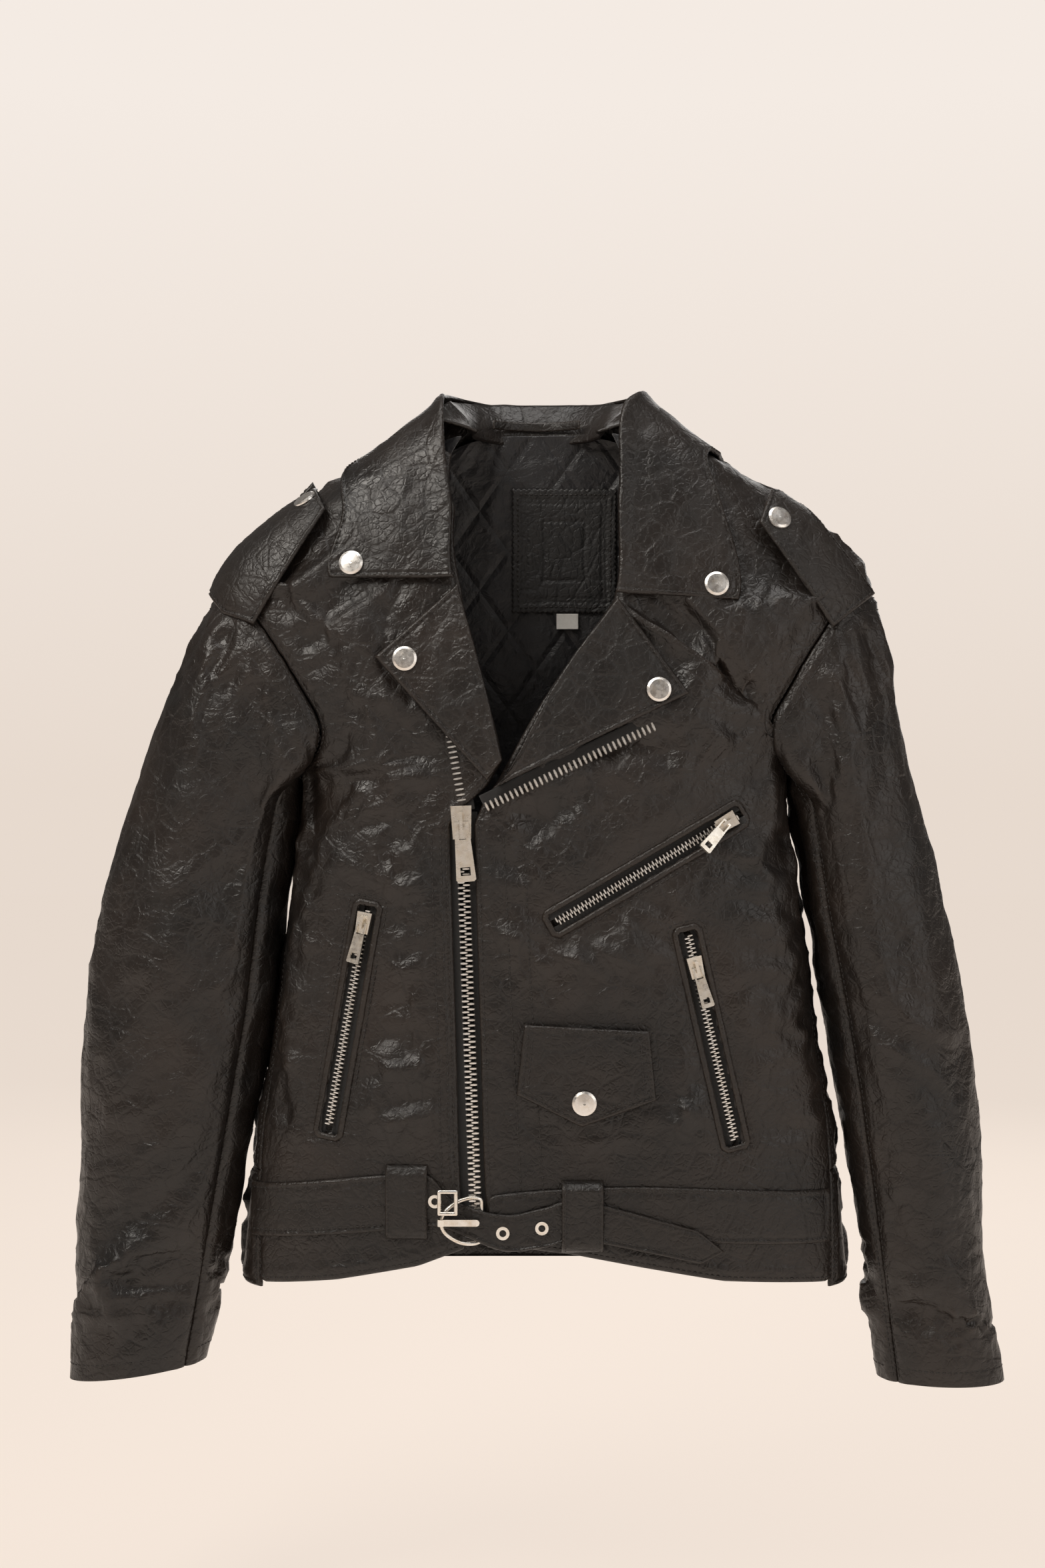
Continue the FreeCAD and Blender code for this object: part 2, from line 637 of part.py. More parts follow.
def build_belt():
    strap = sheet(BELT_RIGHT, BELT_UNDER).fuse([sheet(BELT_STEP, (0.6, 5.4)), sheet(BELT_TIP, BELT_OVER)])
    rings = []
    for x, z, top in EYELETS:
        place = snap_placement(x, z, top)
        strap = strap.cut(placed(Part.makeCylinder(EYELET_BARREL + 0.3, 2.7, Vector(0, 0, -2.5)), place))
        rings.append(placed(eyelet(), place))
    export("belt_strap", strap.removeSplitter())
    export("belt_eyelets", *rings)
    export("belt_buckle_strap", sheet(BELT_LEFT, BELT_UNDER))
    export("belt_loops", loop(LOOP_RIGHT, 4.8, 3.6), loop(LOOP_LEFT, 7.4, 6.2))


def swept_wire(points, radius):
    """Round wire along a smooth open or closed line of points."""
    closed = points[0] == points[-1]
    curve = Part.BSplineCurve()
    if closed:
        curve.interpolate(points[:-1], PeriodicFlag=True)
    else:
        curve.interpolate(points)
    path = Part.Wire([curve.toShape()])
    tangent = curve.tangent(curve.FirstParameter)[0]
    ring = Part.Wire([Part.Circle(points[0], tangent, radius).toShape()])
    return path.makePipeShell([ring], True, False)


def buckle_frame_placement():
    """Buckle frame: X runs toward the wearer's right along the belt, Z out of the jacket."""
    middle = (RING_BAR_X, -490.0)
    return frame_at(skin_point(*middle, 1.5), Vector(-1, 0, 0), skin_normal(*middle))


def build_buckle():
    frame = buckle_frame_placement()
    tilt = RING_TILT
    points = [Vector(0, RING_HALF * share, 0) for share in (-0.75, -0.6, -0.3, 0.0, 0.3, 0.6, 0.75)]
    arc = []
    for index in range(1, 8):
        angle = math.pi / 2 - math.pi * index / 8
        reach = math.cos(angle) * RING_REACH
        arc.append(Vector(reach, math.sin(angle) * RING_HALF, reach * tilt))
    ring = swept_wire(points + arc + points[:1], BELT_WIRE)
    export("belt_ring", placed(ring, frame))
    height = RING_REACH * RING_TILT
    outline = [(15, -6), (15, -19), (25, -19), (25, -6)]
    bars = []
    for first, second in zip(outline, outline[1:] + outline[:1]):
        start = Vector(first[0], first[1], height + 2.9)
        end = Vector(second[0], second[1], height + 2.9)
        bars.append(Part.makeCylinder(1.2, (end - start).Length, start, end - start))
        bars.append(Part.makeSphere(1.2, start))
    export("buckle_frame", placed(bars[0].fuse(bars[1:]), frame))
    eye = Part.makeCylinder(2.6, 4.0, Vector(RING_REACH, -2.0, height), Vector(0, 1, 0))
    eye = eye.cut(Part.makeCylinder(1.8, 6.0, Vector(RING_REACH, -3.0, height), Vector(0, 1, 0)))
    shank = box(3.0, RING_REACH - 1.9, -2.0, 2.0, height + 0.2, height + 1.4)
    tip = Part.makeCylinder(2.0, 1.2, Vector(3.0, 0, height + 0.2))
    export("buckle_tongue", placed(eye.fuse([shank, tip]), frame))


# ------------------------------------------------------------------ sleeves
def sleeve_axes(side, index):
    outer = Vector(SLEEVE_OUTER[side][index][0], SLEEVE_Y[index], SLEEVE_OUTER[side][index][1])
    inner = Vector(SLEEVE_INNER[side][index][0], SLEEVE_Y[index], SLEEVE_INNER[side][index][1])
    turn = ARMHOLE_TURN if index == 0 else 0.0
    forward = Vector(-side * turn, -1, 0).normalize() * SLEEVE_DEPTH[index]
    return (outer + inner) * 0.5, (outer - inner) * 0.5, forward


def sleeve_point(side, index, angle, offset=0.0):
    centre, outward, forward = sleeve_axes(side, index)
    across = outward * (1 + offset / outward.Length) * math.cos(angle)
    return centre + across + forward * (1 + offset / forward.Length) * math.sin(angle)


def sleeve_body(side, offset, first_gap=ARMHOLE_GAP, shorten=0.0):
    """Solid sleeve; its top face is parallel to the armhole plane and stands clear of it."""
    wires = []
    last = len(SLEEVE_Y) - 1
    for index in range(last + 1):
        shift = Vector(0, 0, 0)
        if index == 0:
            _, outward, forward = sleeve_axes(side, 0)
            normal = outward.cross(forward).normalize()
            shift = normal * first_gap * (1 if normal.x * side > 0 else -1)
        if index == last:
            shift = Vector(0, 0, shorten)
        points = []
        for step in range(SECTION_POINTS):
            points.append(sleeve_point(side, index, 2 * math.pi * step / SECTION_POINTS, offset) + shift)
        wires.append(closed_spline(points))
    return Part.makeLoft(wires, True, True)


def cuff_chain(side):
    """Local frame and length of a cuff zip, which runs down the back of the sleeve to the cuff edge."""
    angle = math.radians(CUFF_ZIP_ANGLE)
    upper = sleeve_point(side, 6, angle, CHAIN_DEPTH)
    higher = sleeve_point(side, 5, angle, CHAIN_DEPTH)
    lower = sleeve_point(side, 7, angle, CHAIN_DEPTH)
    start = upper + (higher - upper) * 0.35
    centre, outward, forward = sleeve_axes(side, 6)
    normal = outward * (math.cos(angle) / outward.Length ** 2)
    normal = normal + forward * (math.sin(angle) / forward.Length ** 2)
    end = lower + (start - lower).normalize() * 4.0
    return frame_at(start, end - start, normal), (end - start).Length


def build_sleeve(side):
    name = "right" if side < 0 else "left"
    skin = sleeve_body(side, 0.0).cut(sleeve_body(side, -LEATHER))
    frame, length = cuff_chain(side)
    skin = skin.cut(placed(box(-3, length + 40, -POCKET_SLOT, POCKET_SLOT, -9, 9), frame))
    top_centre = sleeve_axes(side, 0)[0]
    cuff_centre = sleeve_axes(side, 7)[0]
    inward_back = Vector(-side * 0.6, 0.8, 0)
    run = (cuff_centre - top_centre).normalize()
    normal = (inward_back - run * inward_back.dot(run)).normalize()
    gap = normal * (PANEL_GAP / 2)
    export("under_sleeve_" + name, skin.common(half_space(top_centre + gap, normal)))
    export("top_sleeve_" + name, skin.common(half_space(top_centre - gap, normal * -1)))
    lining = sleeve_body(side, SLEEVE_LINING[1], shorten=12.0)
    lining = lining.cut(sleeve_body(side, SLEEVE_LINING[0], shorten=12.0))
    lining = lining.cut(placed(box(-6, length + 40, -8, 8, -12, 9), frame))
    export("sleeve_lining_" + name, lining)
    rows = []
    for row_side in (-1, 1):
        row = tooth_row(length, POCKET_ZIP, row_side, 0.0 if row_side > 0 else 0.5)
        rows.append(placed(row, frame))
    export("cuff_zip_" + name, *rows)
    shift = FreeCAD.Placement(Vector(length - CUFF_SLIDER_INSET, 0, 0), FreeCAD.Rotation())
    slider = frame.multiply(shift)
    export("cuff_zip_slider_" + name, placed(slider_body(POCKET_ZIP), slider))
    export("cuff_zip_pull_" + name, placed(pull_tab(POCKET_ZIP), slider))


# ------------------------------------------------------------------ hang loop and labels
def build_neck_parts():
    band = neck_hole(0, LOOP_OFFSET).cut(neck_hole(-1, LOOP_OFFSET - LOOP_THICK))
    foot_ring = neck_hole(0, STAND_INNER).cut(neck_hole(-1, LOOP_OFFSET - LOOP_THICK))
    band = band.common(box(-LOOP_HALF, LOOP_HALF, SIDE_Y, 60, 0, LOOP_TALL))
    feet = []
    for side in (-1, 1):
        near, far = sorted((side * LOOP_HALF, side * (LOOP_HALF - LOOP_FOOT)))
        feet.append(foot_ring.common(box(near, far, SIDE_Y, 60, 0, LOOP_TALL)))
    export("hang_loop", band.fuse(feet))
    back = torso_body(LABEL_OUTER).cut(torso_body(LABEL_INNER))
    patch = back.common(box(*LABEL_X, SIDE_Y + 20, 80, *LABEL_Z))
    size_tag = back.common(box(*TAG_X, SIDE_Y + 20, 80, *TAG_Z))
    export("neck_label", patch)
    export("size_tag", size_tag)


build_torso()
build_lining()
build_collar()
build_flap("lapel_right", LAPEL_RIGHT, LAPEL, SNAPS["lapel_snap_right"])
build_flap("lapel_left", LAPEL_LEFT, LAPEL, SNAPS["lapel_snap_left"])
build_flap("epaulette_right", EPAULETTE_RIGHT, EPAULETTE, SNAPS["epaulette_snap_right"])
build_flap("epaulette_left", EPAULETTE_LEFT, EPAULETTE, SNAPS["epaulette_snap_left"])
build_snaps()
export("zip_tapes", *build_main_zip(), *build_pocket_zips())
build_lapel_zip()
build_coin_pocket()
build_belt()
build_buckle()
build_sleeve(-1)
build_sleeve(1)
build_neck_parts()
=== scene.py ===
import math

import bpy
import numpy as np
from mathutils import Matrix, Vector


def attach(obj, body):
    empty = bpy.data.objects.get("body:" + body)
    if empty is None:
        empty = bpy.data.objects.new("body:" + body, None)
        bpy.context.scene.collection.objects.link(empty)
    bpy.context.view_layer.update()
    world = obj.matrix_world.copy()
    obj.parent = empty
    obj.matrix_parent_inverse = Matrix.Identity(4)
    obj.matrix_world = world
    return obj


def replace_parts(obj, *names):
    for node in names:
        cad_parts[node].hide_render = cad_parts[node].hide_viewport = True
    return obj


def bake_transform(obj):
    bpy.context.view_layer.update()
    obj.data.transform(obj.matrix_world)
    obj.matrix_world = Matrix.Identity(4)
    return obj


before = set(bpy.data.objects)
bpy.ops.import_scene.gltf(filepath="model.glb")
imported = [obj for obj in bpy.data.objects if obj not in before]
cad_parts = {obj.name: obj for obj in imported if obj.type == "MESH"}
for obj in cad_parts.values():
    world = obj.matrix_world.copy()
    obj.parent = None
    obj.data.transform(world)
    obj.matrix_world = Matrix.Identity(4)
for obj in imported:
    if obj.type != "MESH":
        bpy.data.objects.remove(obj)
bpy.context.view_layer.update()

# Leather riding jacket.  Sizes are in millimetres in the frame's axes and become metres in make_mesh.
MM = 0.001
rng = np.random.default_rng(11)

# ---- torso sections: height, half width, front depth, back depth about the side plane --------------------
SIDE_Y = -38.0
TORSO_X = 5.0
TORSO_POWER = 3.2
TORSO_SECTIONS = np.array((
    (-560, 191, 64, 49), (-450, 181, 65.4, 52), (-390, 169, 66.2, 53), (-327, 161, 67, 54),
    (-267, 153, 67.7, 54), (-236, 149, 68, 54), (-206, 149, 67.4, 53), (-180, 173, 66, 52),
    (-150, 203, 63.5, 52), (-118, 211, 60, 52), (-92, 197, 56, 52), (-66, 170, 52, 51),
    (-45, 139, 48, 50), (-25, 105, 44, 49), (-5, 77, 40, 48), (9, 59, 37, 47), (20, 46, 34, 45),
), float)
SEAM_LOW = (-78.0, -540.0)
SEAM_SLOPE = 33.0 / 325.0
FRONT_HEM = np.array(((-200, -536), (-122, -528), (-72, -519), (-42, -508), (-20, -506),
                      (20, -511), (62, -519), (112, -528), (160, -531), (210, -535)), float)
BACK_HEM = -536.0
LINING_HEM = -522.0
WAIST_SEAM = -466.0
YOKE_SEAM = -118.0

# ---- smooth lookup tables of the torso -------------------------------------------------------------------
HEIGHTS = np.arange(-560.0, 21.0, 2.0)
SIGMAS = np.linspace(0, 1, 161)


def smooth_column(column, width=6):
    values = np.interp(HEIGHTS, TORSO_SECTIONS[:, 0], TORSO_SECTIONS[:, column])
    kernel = np.exp(-0.5 * (np.arange(-3 * width, 3 * width + 1) / width) ** 2)
    start = values[0] + (values[0] - values[1:3 * width + 1][::-1])
    end = values[-1] + (values[-1] - values[-3 * width - 1:-1][::-1])
    padded = np.concatenate((start, values, end))
    return np.convolve(padded, kernel / kernel.sum(), mode="valid")


HALF_WIDTH, FRONT_DEPTH, BACK_DEPTH = (smooth_column(column) for column in (1, 2, 3))


def quarter_table(depths):
    """Unit superellipse quarter at each height, from its middle (0) to its side (1) by arc length."""
    angle = np.linspace(0, math.pi / 2, 721)
    across = np.sin(angle) ** (2 / TORSO_POWER)
    depth = np.cos(angle) ** (2 / TORSO_POWER)
    rows = []
    for half_width, reach in zip(HALF_WIDTH, depths):
        steps = np.hypot(np.diff(across) * half_width, np.diff(depth) * reach)
        travel = np.concatenate(((0,), np.cumsum(steps)))
        travel = travel / travel[-1]
        rows.append((np.interp(SIGMAS, travel, across), np.interp(SIGMAS, travel, depth)))
    return np.array(rows)


FRONT_TABLE = quarter_table(FRONT_DEPTH)
BACK_TABLE = quarter_table(BACK_DEPTH)


def table_lookup(table, sigma, height):
    row = np.clip((height - HEIGHTS[0]) / (HEIGHTS[1] - HEIGHTS[0]), 0, len(HEIGHTS) - 1.001)
    column = np.clip(sigma, 0, 1) * (len(SIGMAS) - 1.001)
    r0, c0 = row.astype(int), column.astype(int)
    fr, fc = row - r0, column - c0
    out = []
    for part in (0, 1):
        cell = table[:, part, :]
        low = cell[r0, c0] * (1 - fc) + cell[r0, c0 + 1] * fc
        high = cell[r0 + 1, c0] * (1 - fc) + cell[r0 + 1, c0 + 1] * fc
        out.append(low * (1 - fr) + high * fr)
    return out


def torso(sigma, height):
    """Torso skin: sigma 0 is the centre front, +-1 the sides and +-2 the centre back."""
    sigma, height = (np.asarray(sigma, float) + 2) % 4 - 2, np.asarray(height, float)
    size = np.abs(sigma)
    front = size <= 1
    fx, fy = table_lookup(FRONT_TABLE, size, height)
    bx, by = table_lookup(BACK_TABLE, 2 - size, height)
    half_width = np.interp(height, HEIGHTS, HALF_WIDTH)
    x = TORSO_X + np.sign(sigma) * half_width * np.where(front, fx, bx)
    front_y = SIDE_Y - np.interp(height, HEIGHTS, FRONT_DEPTH) * fy
    back_y = SIDE_Y + np.interp(height, HEIGHTS, BACK_DEPTH) * by
    return np.stack((x, np.where(front, front_y, back_y), height + 0 * x), -1)


def on_torso(domain):
    return torso(domain[..., 0], domain[..., 1])


def front_skin(x, height):
    """Front of the torso at (x, height)."""
    x, height = np.asarray(x, float), np.asarray(height, float)
    half_width = np.interp(height, HEIGHTS, HALF_WIDTH)
    reach = np.clip(np.abs(x - TORSO_X) / half_width, 0, 1)
    depth = np.interp(height, HEIGHTS, FRONT_DEPTH)
    y = SIDE_Y - depth * (1 - reach ** TORSO_POWER) ** (1 / TORSO_POWER)
    return np.stack((x, y, height), -1)


def sigma_of(x, height):
    """Arc coordinate of the front point at x."""
    out = []
    for one_x, one_z in zip(np.atleast_1d(x), np.atleast_1d(height)):
        row = int(np.clip(round((one_z - HEIGHTS[0]) / 2), 0, len(HEIGHTS) - 1))
        reach = min(abs(one_x - TORSO_X) / HALF_WIDTH[row], 1.0)
        size = np.interp(reach, FRONT_TABLE[row, 0], SIGMAS)
        out.append(math.copysign(size, one_x - TORSO_X))
    return np.array(out)


def seam_sigma(height, side):
    """Arc coordinate of the side seam, which lies in one slanted plane."""
    out = []
    for one_z in np.atleast_1d(height):
        seam_y = SEAM_LOW[0] + (one_z - SEAM_LOW[1]) * SEAM_SLOPE
        sizes = np.linspace(0.3, 1.6, 400)
        ys = torso(sizes, np.full(400, float(one_z)))[:, 1]
        out.append(side * sizes[np.argmin(np.abs(ys - seam_y))])
    return np.array(out)


# ---- grids -----------------------------------------------------------------------------------------------
def resample(points, shares):
    points = np.asarray(points, float)
    travel = np.concatenate(((0,), np.cumsum(np.linalg.norm(np.diff(points, axis=0), axis=1))))
    travel = travel / travel[-1]
    return np.stack([np.interp(shares, travel, points[:, k]) for k in range(points.shape[1])], -1)


def share_at(line, height):
    """Share along an upward domain line at which it first reaches that height."""
    line = np.asarray(line, float)
    travel = np.concatenate(((0,), np.cumsum(np.linalg.norm(np.diff(line, axis=0), axis=1))))
    reached = int(np.argmax(line[:, 1] >= height))
    return travel[reached] / travel[-1]


def coons(bottom, right, top, left, across, upward, level=None):
    """Grid of domain points inside four boundary lines; bottom and top run left to right, sides run up.

    With a level, both sides reach that height in the same row."""
    b, t = resample(bottom, across), resample(top, across)
    l_shares = r_shares = upward
    if level is not None:
        l_at, r_at = share_at(left, level), share_at(right, level)
        l_shares = np.interp(upward, (0, (l_at + r_at) / 2, 1), (0, l_at, 1))
        r_shares = np.interp(upward, (0, (l_at + r_at) / 2, 1), (0, r_at, 1))
    l, r = resample(left, l_shares), resample(right, r_shares)
    u, v = across[None, :, None], upward[:, None, None]
    ruled = (1 - v) * b[None] + v * t[None] + (1 - u) * l[:, None] + u * r[:, None]
    corners = (1 - u) * (1 - v) * b[0] + u * (1 - v) * b[-1] + (1 - u) * v * t[0] + u * v * t[-1]
    return ruled - corners


def edge_shares(length, step, rings):
    """Shares along a side of that length: close rings near both ends and even steps between."""
    rings = [ring for ring in rings if ring < length * 0.4]
    inner = np.arange(rings[-1] + step, length - rings[-1] - step * 0.5, step)
    values = np.concatenate(((0,), rings, inner, [length - ring for ring in rings[::-1]], (length,)))
    return values / length


def grid_normals(points):
    du = np.gradient(points, axis=1)
    dv = np.gradient(points, axis=0)
    normals = np.cross(du, dv)
    return normals / (np.linalg.norm(normals, axis=-1, keepdims=True) + 1e-9)


def border_distance(points, sides="blrt"):
    """Distance from each grid point to the nearest of the named sides, along the grid lines."""
    far = np.full(points.shape[:2], 1e3)
    along_u = np.linalg.norm(np.diff(points, axis=1), axis=-1)
    along_v = np.linalg.norm(np.diff(points, axis=0), axis=-1)
    from_left = np.concatenate((np.zeros((points.shape[0], 1)), np.cumsum(along_u, 1)), 1)
    from_bottom = np.concatenate((np.zeros((1, points.shape[1])), np.cumsum(along_v, 0)), 0)
    options = {"l": from_left, "r": from_left[:, -1:] - from_left,
               "b": from_bottom, "t": from_bottom[-1:] - from_bottom}
    for side in sides:
        far = np.minimum(far, options[side])
    return far


def grid_faces(rows, columns, start=0, wrap=False, flip=False):
    faces = []
    for i in range(rows - 1):
        for j in range(columns if wrap else columns - 1):
            k = (j + 1) % columns
            quad = (start + i * columns + j, start + i * columns + k,
                    start + (i + 1) * columns + k, start + (i + 1) * columns + j)
            faces.append(quad[::-1] if flip else quad)
    return faces


def make_mesh(name, points, faces, material, body=None, smooth=True):
    mesh = bpy.data.meshes.new(name)
    mesh.from_pydata((np.asarray(points).reshape(-1, 3) * MM).tolist(), [], faces)
    mesh.polygons.foreach_set("use_smooth", [smooth] * len(mesh.polygons))
    mesh.update()
    piece = bpy.data.objects.new(name, mesh)
    bpy.context.scene.collection.objects.link(piece)
    mesh.materials.append(material)
    if body:
        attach(piece, body)
    return piece


def two_sided(upper, lower):
    """Vertices and faces of a closed sheet whose two grids meet at their borders."""
    rows, columns = upper.shape[:2]
    points = np.concatenate((upper.reshape(-1, 3), lower.reshape(-1, 3)))
    faces = grid_faces(rows, columns) + grid_faces(rows, columns, rows * columns, flip=True)
    ring = [(0, j) for j in range(columns)] + [(i, columns - 1) for i in range(1, rows)]
    ring += [(rows - 1, j) for j in range(columns - 2, -1, -1)] + [(i, 0) for i in range(rows - 2, 0, -1)]
    index = [i * columns + j for i, j in ring]
    for a, b in zip(index, index[1:] + index[:1]):
        faces.append((b, a, a + rows * columns, b + rows * columns))
    return points, faces


# ---- noise for shapes ------------------------------------------------------------------------------------
LATTICE = rng.random((32, 32, 32)) * 2 - 1


def noise(points, scale):
    """Smooth value noise with cells `scale` millimetres across."""
    p = np.asarray(points, float) / scale
    cell = np.floor(p).astype(int)
    f = p - cell
    f = f * f * (3 - 2 * f)
    total = 0.0
    for dx in (0, 1):
        for dy in (0, 1):
            for dz in (0, 1):
                weight = np.where(dx, f[..., 0], 1 - f[..., 0]) * np.where(dy, f[..., 1], 1 - f[..., 1])
                weight = weight * np.where(dz, f[..., 2], 1 - f[..., 2])
                corner = LATTICE[(cell[..., 0] + dx) % 32, (cell[..., 1] + dy) % 32, (cell[..., 2] + dz) % 32]
                total = total + weight * corner
    return total


def stretched(points, direction, ratio):
    """Points squeezed along a direction, so that noise made from them runs along it."""
    d = np.asarray(direction, float)
    d = d / np.linalg.norm(d)
    return points - (points @ d)[..., None] * d * (1 - 1 / ratio)


def folds(points, direction, scale, ratio, sharp=1.0):
    """Soft ridges and sharper valleys that run along a direction."""
    p = stretched(points, direction, ratio)
    p = p + 0.35 * scale * np.stack([noise(p + 31.0 * k, scale * 1.7) for k in (1, 2, 3)], -1)
    ridge = 1 - 2 * np.abs(noise(p, scale))
    return ridge * sharp + noise(p + 77.0, scale * 1.6) * (1 - sharp)


# ---- materials -------------------------------------------------------------------------------------------
class Nodes:
    """Small helper that adds shader nodes to one material."""

    def __init__(self, name):
        self.material = bpy.data.materials.new(name)
        self.material.use_nodes = True
        self.tree = self.material.node_tree
        self.shader = self.tree.nodes["Principled BSDF"]
        self.place = self.add("ShaderNodeTexCoord").outputs["Object"]

    def add(self, kind, **values):
        node = self.tree.nodes.new(kind)
        for key, value in values.items():
            setattr(node, key, value)
        return node

    def link(self, source, target):
        self.tree.links.new(source, target)

    def noise(self, scale, detail=4.0, rough=0.55, place=None):
        node = self.add("ShaderNodeTexNoise")
        node.inputs["Scale"].default_value = scale
        node.inputs["Detail"].default_value = detail
        node.inputs["Roughness"].default_value = rough
        self.link(place or self.place, node.inputs["Vector"])
        return node.outputs["Fac"]

    def warped(self, scale, amount):
        """Object place pushed about by a noise, in metres."""
        node = self.add("ShaderNodeTexNoise")
        node.inputs["Scale"].default_value = scale
        self.link(self.place, node.inputs["Vector"])
        mix = self.add("ShaderNodeVectorMath", operation="MULTIPLY_ADD")
        self.link(node.outputs["Color"], mix.inputs[0])
        mix.inputs[1].default_value = (amount, amount, amount)
        self.link(self.place, mix.inputs[2])
        return mix.outputs[0]

    def cells(self, scale, feature="F1", place=None):
        node = self.add("ShaderNodeTexVoronoi", feature=feature)
        node.inputs["Scale"].default_value = scale
        self.link(place or self.place, node.inputs["Vector"])
        return node.outputs["Distance"]

    def ramp(self, source, stops):
        node = self.add("ShaderNodeValToRGB")
        elements = node.color_ramp.elements
        while len(elements) < len(stops):
            elements.new(0.5)
        for element, (position, color) in zip(elements, stops):
            element.position = position
            element.color = color if len(color) == 4 else (*color, 1.0)
        self.link(source, node.inputs["Fac"])
        return node.outputs["Color"]

    def blend(self, factor, first, second):
        node = self.add("ShaderNodeMix", data_type="RGBA")
        for socket, value in ((node.inputs[0], factor), (node.inputs[6], first), (node.inputs[7], second)):
            if hasattr(value, "links"):
                self.link(value, socket)
            elif socket.type == "RGBA":
                socket.default_value = (*value, 1.0)
            else:
                socket.default_value = value
        return node.outputs[2]

    def maths(self, operation, first, second):
        node = self.add("ShaderNodeMath", operation=operation)
        for socket, value in zip(node.inputs, (first, second)):
            if hasattr(value, "links"):
                self.link(value, socket)
            else:
                socket.default_value = value
        return node.outputs[0]

    def bump(self, layers):
        """Chain of bumps: each layer is (height socket, distance in metres, strength)."""
        normal = None
        for height, distance, strength in layers:
            node = self.add("ShaderNodeBump")
            node.inputs["Distance"].default_value = distance
            node.inputs["Strength"].default_value = strength
            self.link(height, node.inputs["Height"])
            if normal:
                self.link(normal, node.inputs["Normal"])
            normal = node.outputs["Normal"]
        self.link(normal, self.shader.inputs["Normal"])

    def set(self, **values):
        for key, value in values.items():
            socket = self.shader.inputs[key.replace("_", " ")]
            if hasattr(value, "links"):
                self.link(value, socket)
            else:
                socket.default_value = (*value, 1.0) if isinstance(value, tuple) else value
        return self.material


def leather_material(name, dark, brown, gloss, wear_and_highlight):
    """Black cowhide: fine pebble grain, a net of creases, brown undertone, and sharp edges painted a lighter
    brown that is partly real rubbed wear and partly a painted edge highlight.
    """
    m = Nodes(name)
    patches = m.noise(14.0, 5.0, 0.6)
    cloudy = m.ramp(patches, ((0.35, (0, 0, 0)), (0.7, (1, 1, 1))))
    base = m.blend(cloudy, dark, brown)
    # Sharp edges get a lighter brown colour: partly real rubbed wear, partly a painted highlight along the
    # edges.
    edge = m.add("ShaderNodeNewGeometry").outputs["Pointiness"]
    rubbed_and_highlit_edges = m.ramp(edge, ((0.515, (0, 0, 0)), (0.60, (1, 1, 1))))
    scuffs_and_edge_highlight = m.maths("MULTIPLY", m.maths("MULTIPLY", rubbed_and_highlit_edges, m.noise(160.0, 3.0)), wear_and_highlight)
    color = m.blend(scuffs_and_edge_highlight, base, (0.085, 0.055, 0.036))
    place = m.warped(26.0, 0.016)
    net = m.ramp(m.cells(70.0, "DISTANCE_TO_EDGE", place), ((0.0, (0, 0, 0)), (0.10, (1, 1, 1))))
    fine_place = m.warped(90.0, 0.006)
    fine_net = m.ramp(m.cells(230.0, "DISTANCE_TO_EDGE", fine_place), ((0.0, (0, 0, 0)), (0.16, (1, 1, 1))))
    pebbles = m.cells(820.0, "SMOOTH_F1", m.warped(300.0, 0.001))
    pores = m.noise(1900.0, 2.0)
    m.bump((
        (m.noise(45.0, 3.0, 0.5, m.warped(20.0, 0.02)), 0.004, 0.25),
        (net, 0.0007, 0.34), (fine_net, 0.00035, 0.38), (pebbles, 0.00022, 0.55), (pores, 0.0001, 0.35),
    ))
    shine = m.ramp(m.noise(32.0, 5.0, 0.65), ((0.3, (gloss - 0.09,) * 3), (0.75, (gloss + 0.12,) * 3)))
    creased = m.maths("ADD", shine, m.maths("MULTIPLY", m.maths("SUBTRACT", 1.0, net), 0.12))
    return m.set(Base_Color=color, Roughness=creased, Specular_IOR_Level=0.5)


def quilt_material():
    """Black quilted satin: crossed diagonal stitch lines, sheen and small puckers."""
    m = Nodes("quilted_satin")
    wave = None
    for angle in (0.62, -0.62):
        turn = m.add("ShaderNodeMapping")
        turn.inputs["Rotation"].default_value = (0, angle, 0)
        m.link(m.place, turn.inputs["Vector"])
        bands = m.add("ShaderNodeTexWave", wave_profile="TRI")
        bands.inputs["Scale"].default_value = 10.5
        m.link(turn.outputs[0], bands.inputs["Vector"])
        line = m.ramp(bands.outputs["Fac"], ((0.0, (0, 0, 0)), (0.22, (0.75, 0.75, 0.75))))
        wave = line if wave is None else m.maths("MINIMUM", wave, line)
    puckers = m.noise(95.0, 5.0, 0.6, m.warped(40.0, 0.02))
    threads = m.noise(2500.0, 2.0)
    m.bump(((wave, 0.0016, 0.5), (puckers, 0.003, 0.55), (threads, 0.0001, 0.3)))
    color = m.blend(m.noise(60.0, 4.0), (0.006, 0.006, 0.007), (0.021, 0.020, 0.022))
    m.set(Sheen_Weight=0.35, Sheen_Roughness=0.35)
    return m.set(Base_Color=color, Roughness=m.ramp(puckers, ((0.3, (0.30,) * 3), (0.7, (0.5,) * 3))))


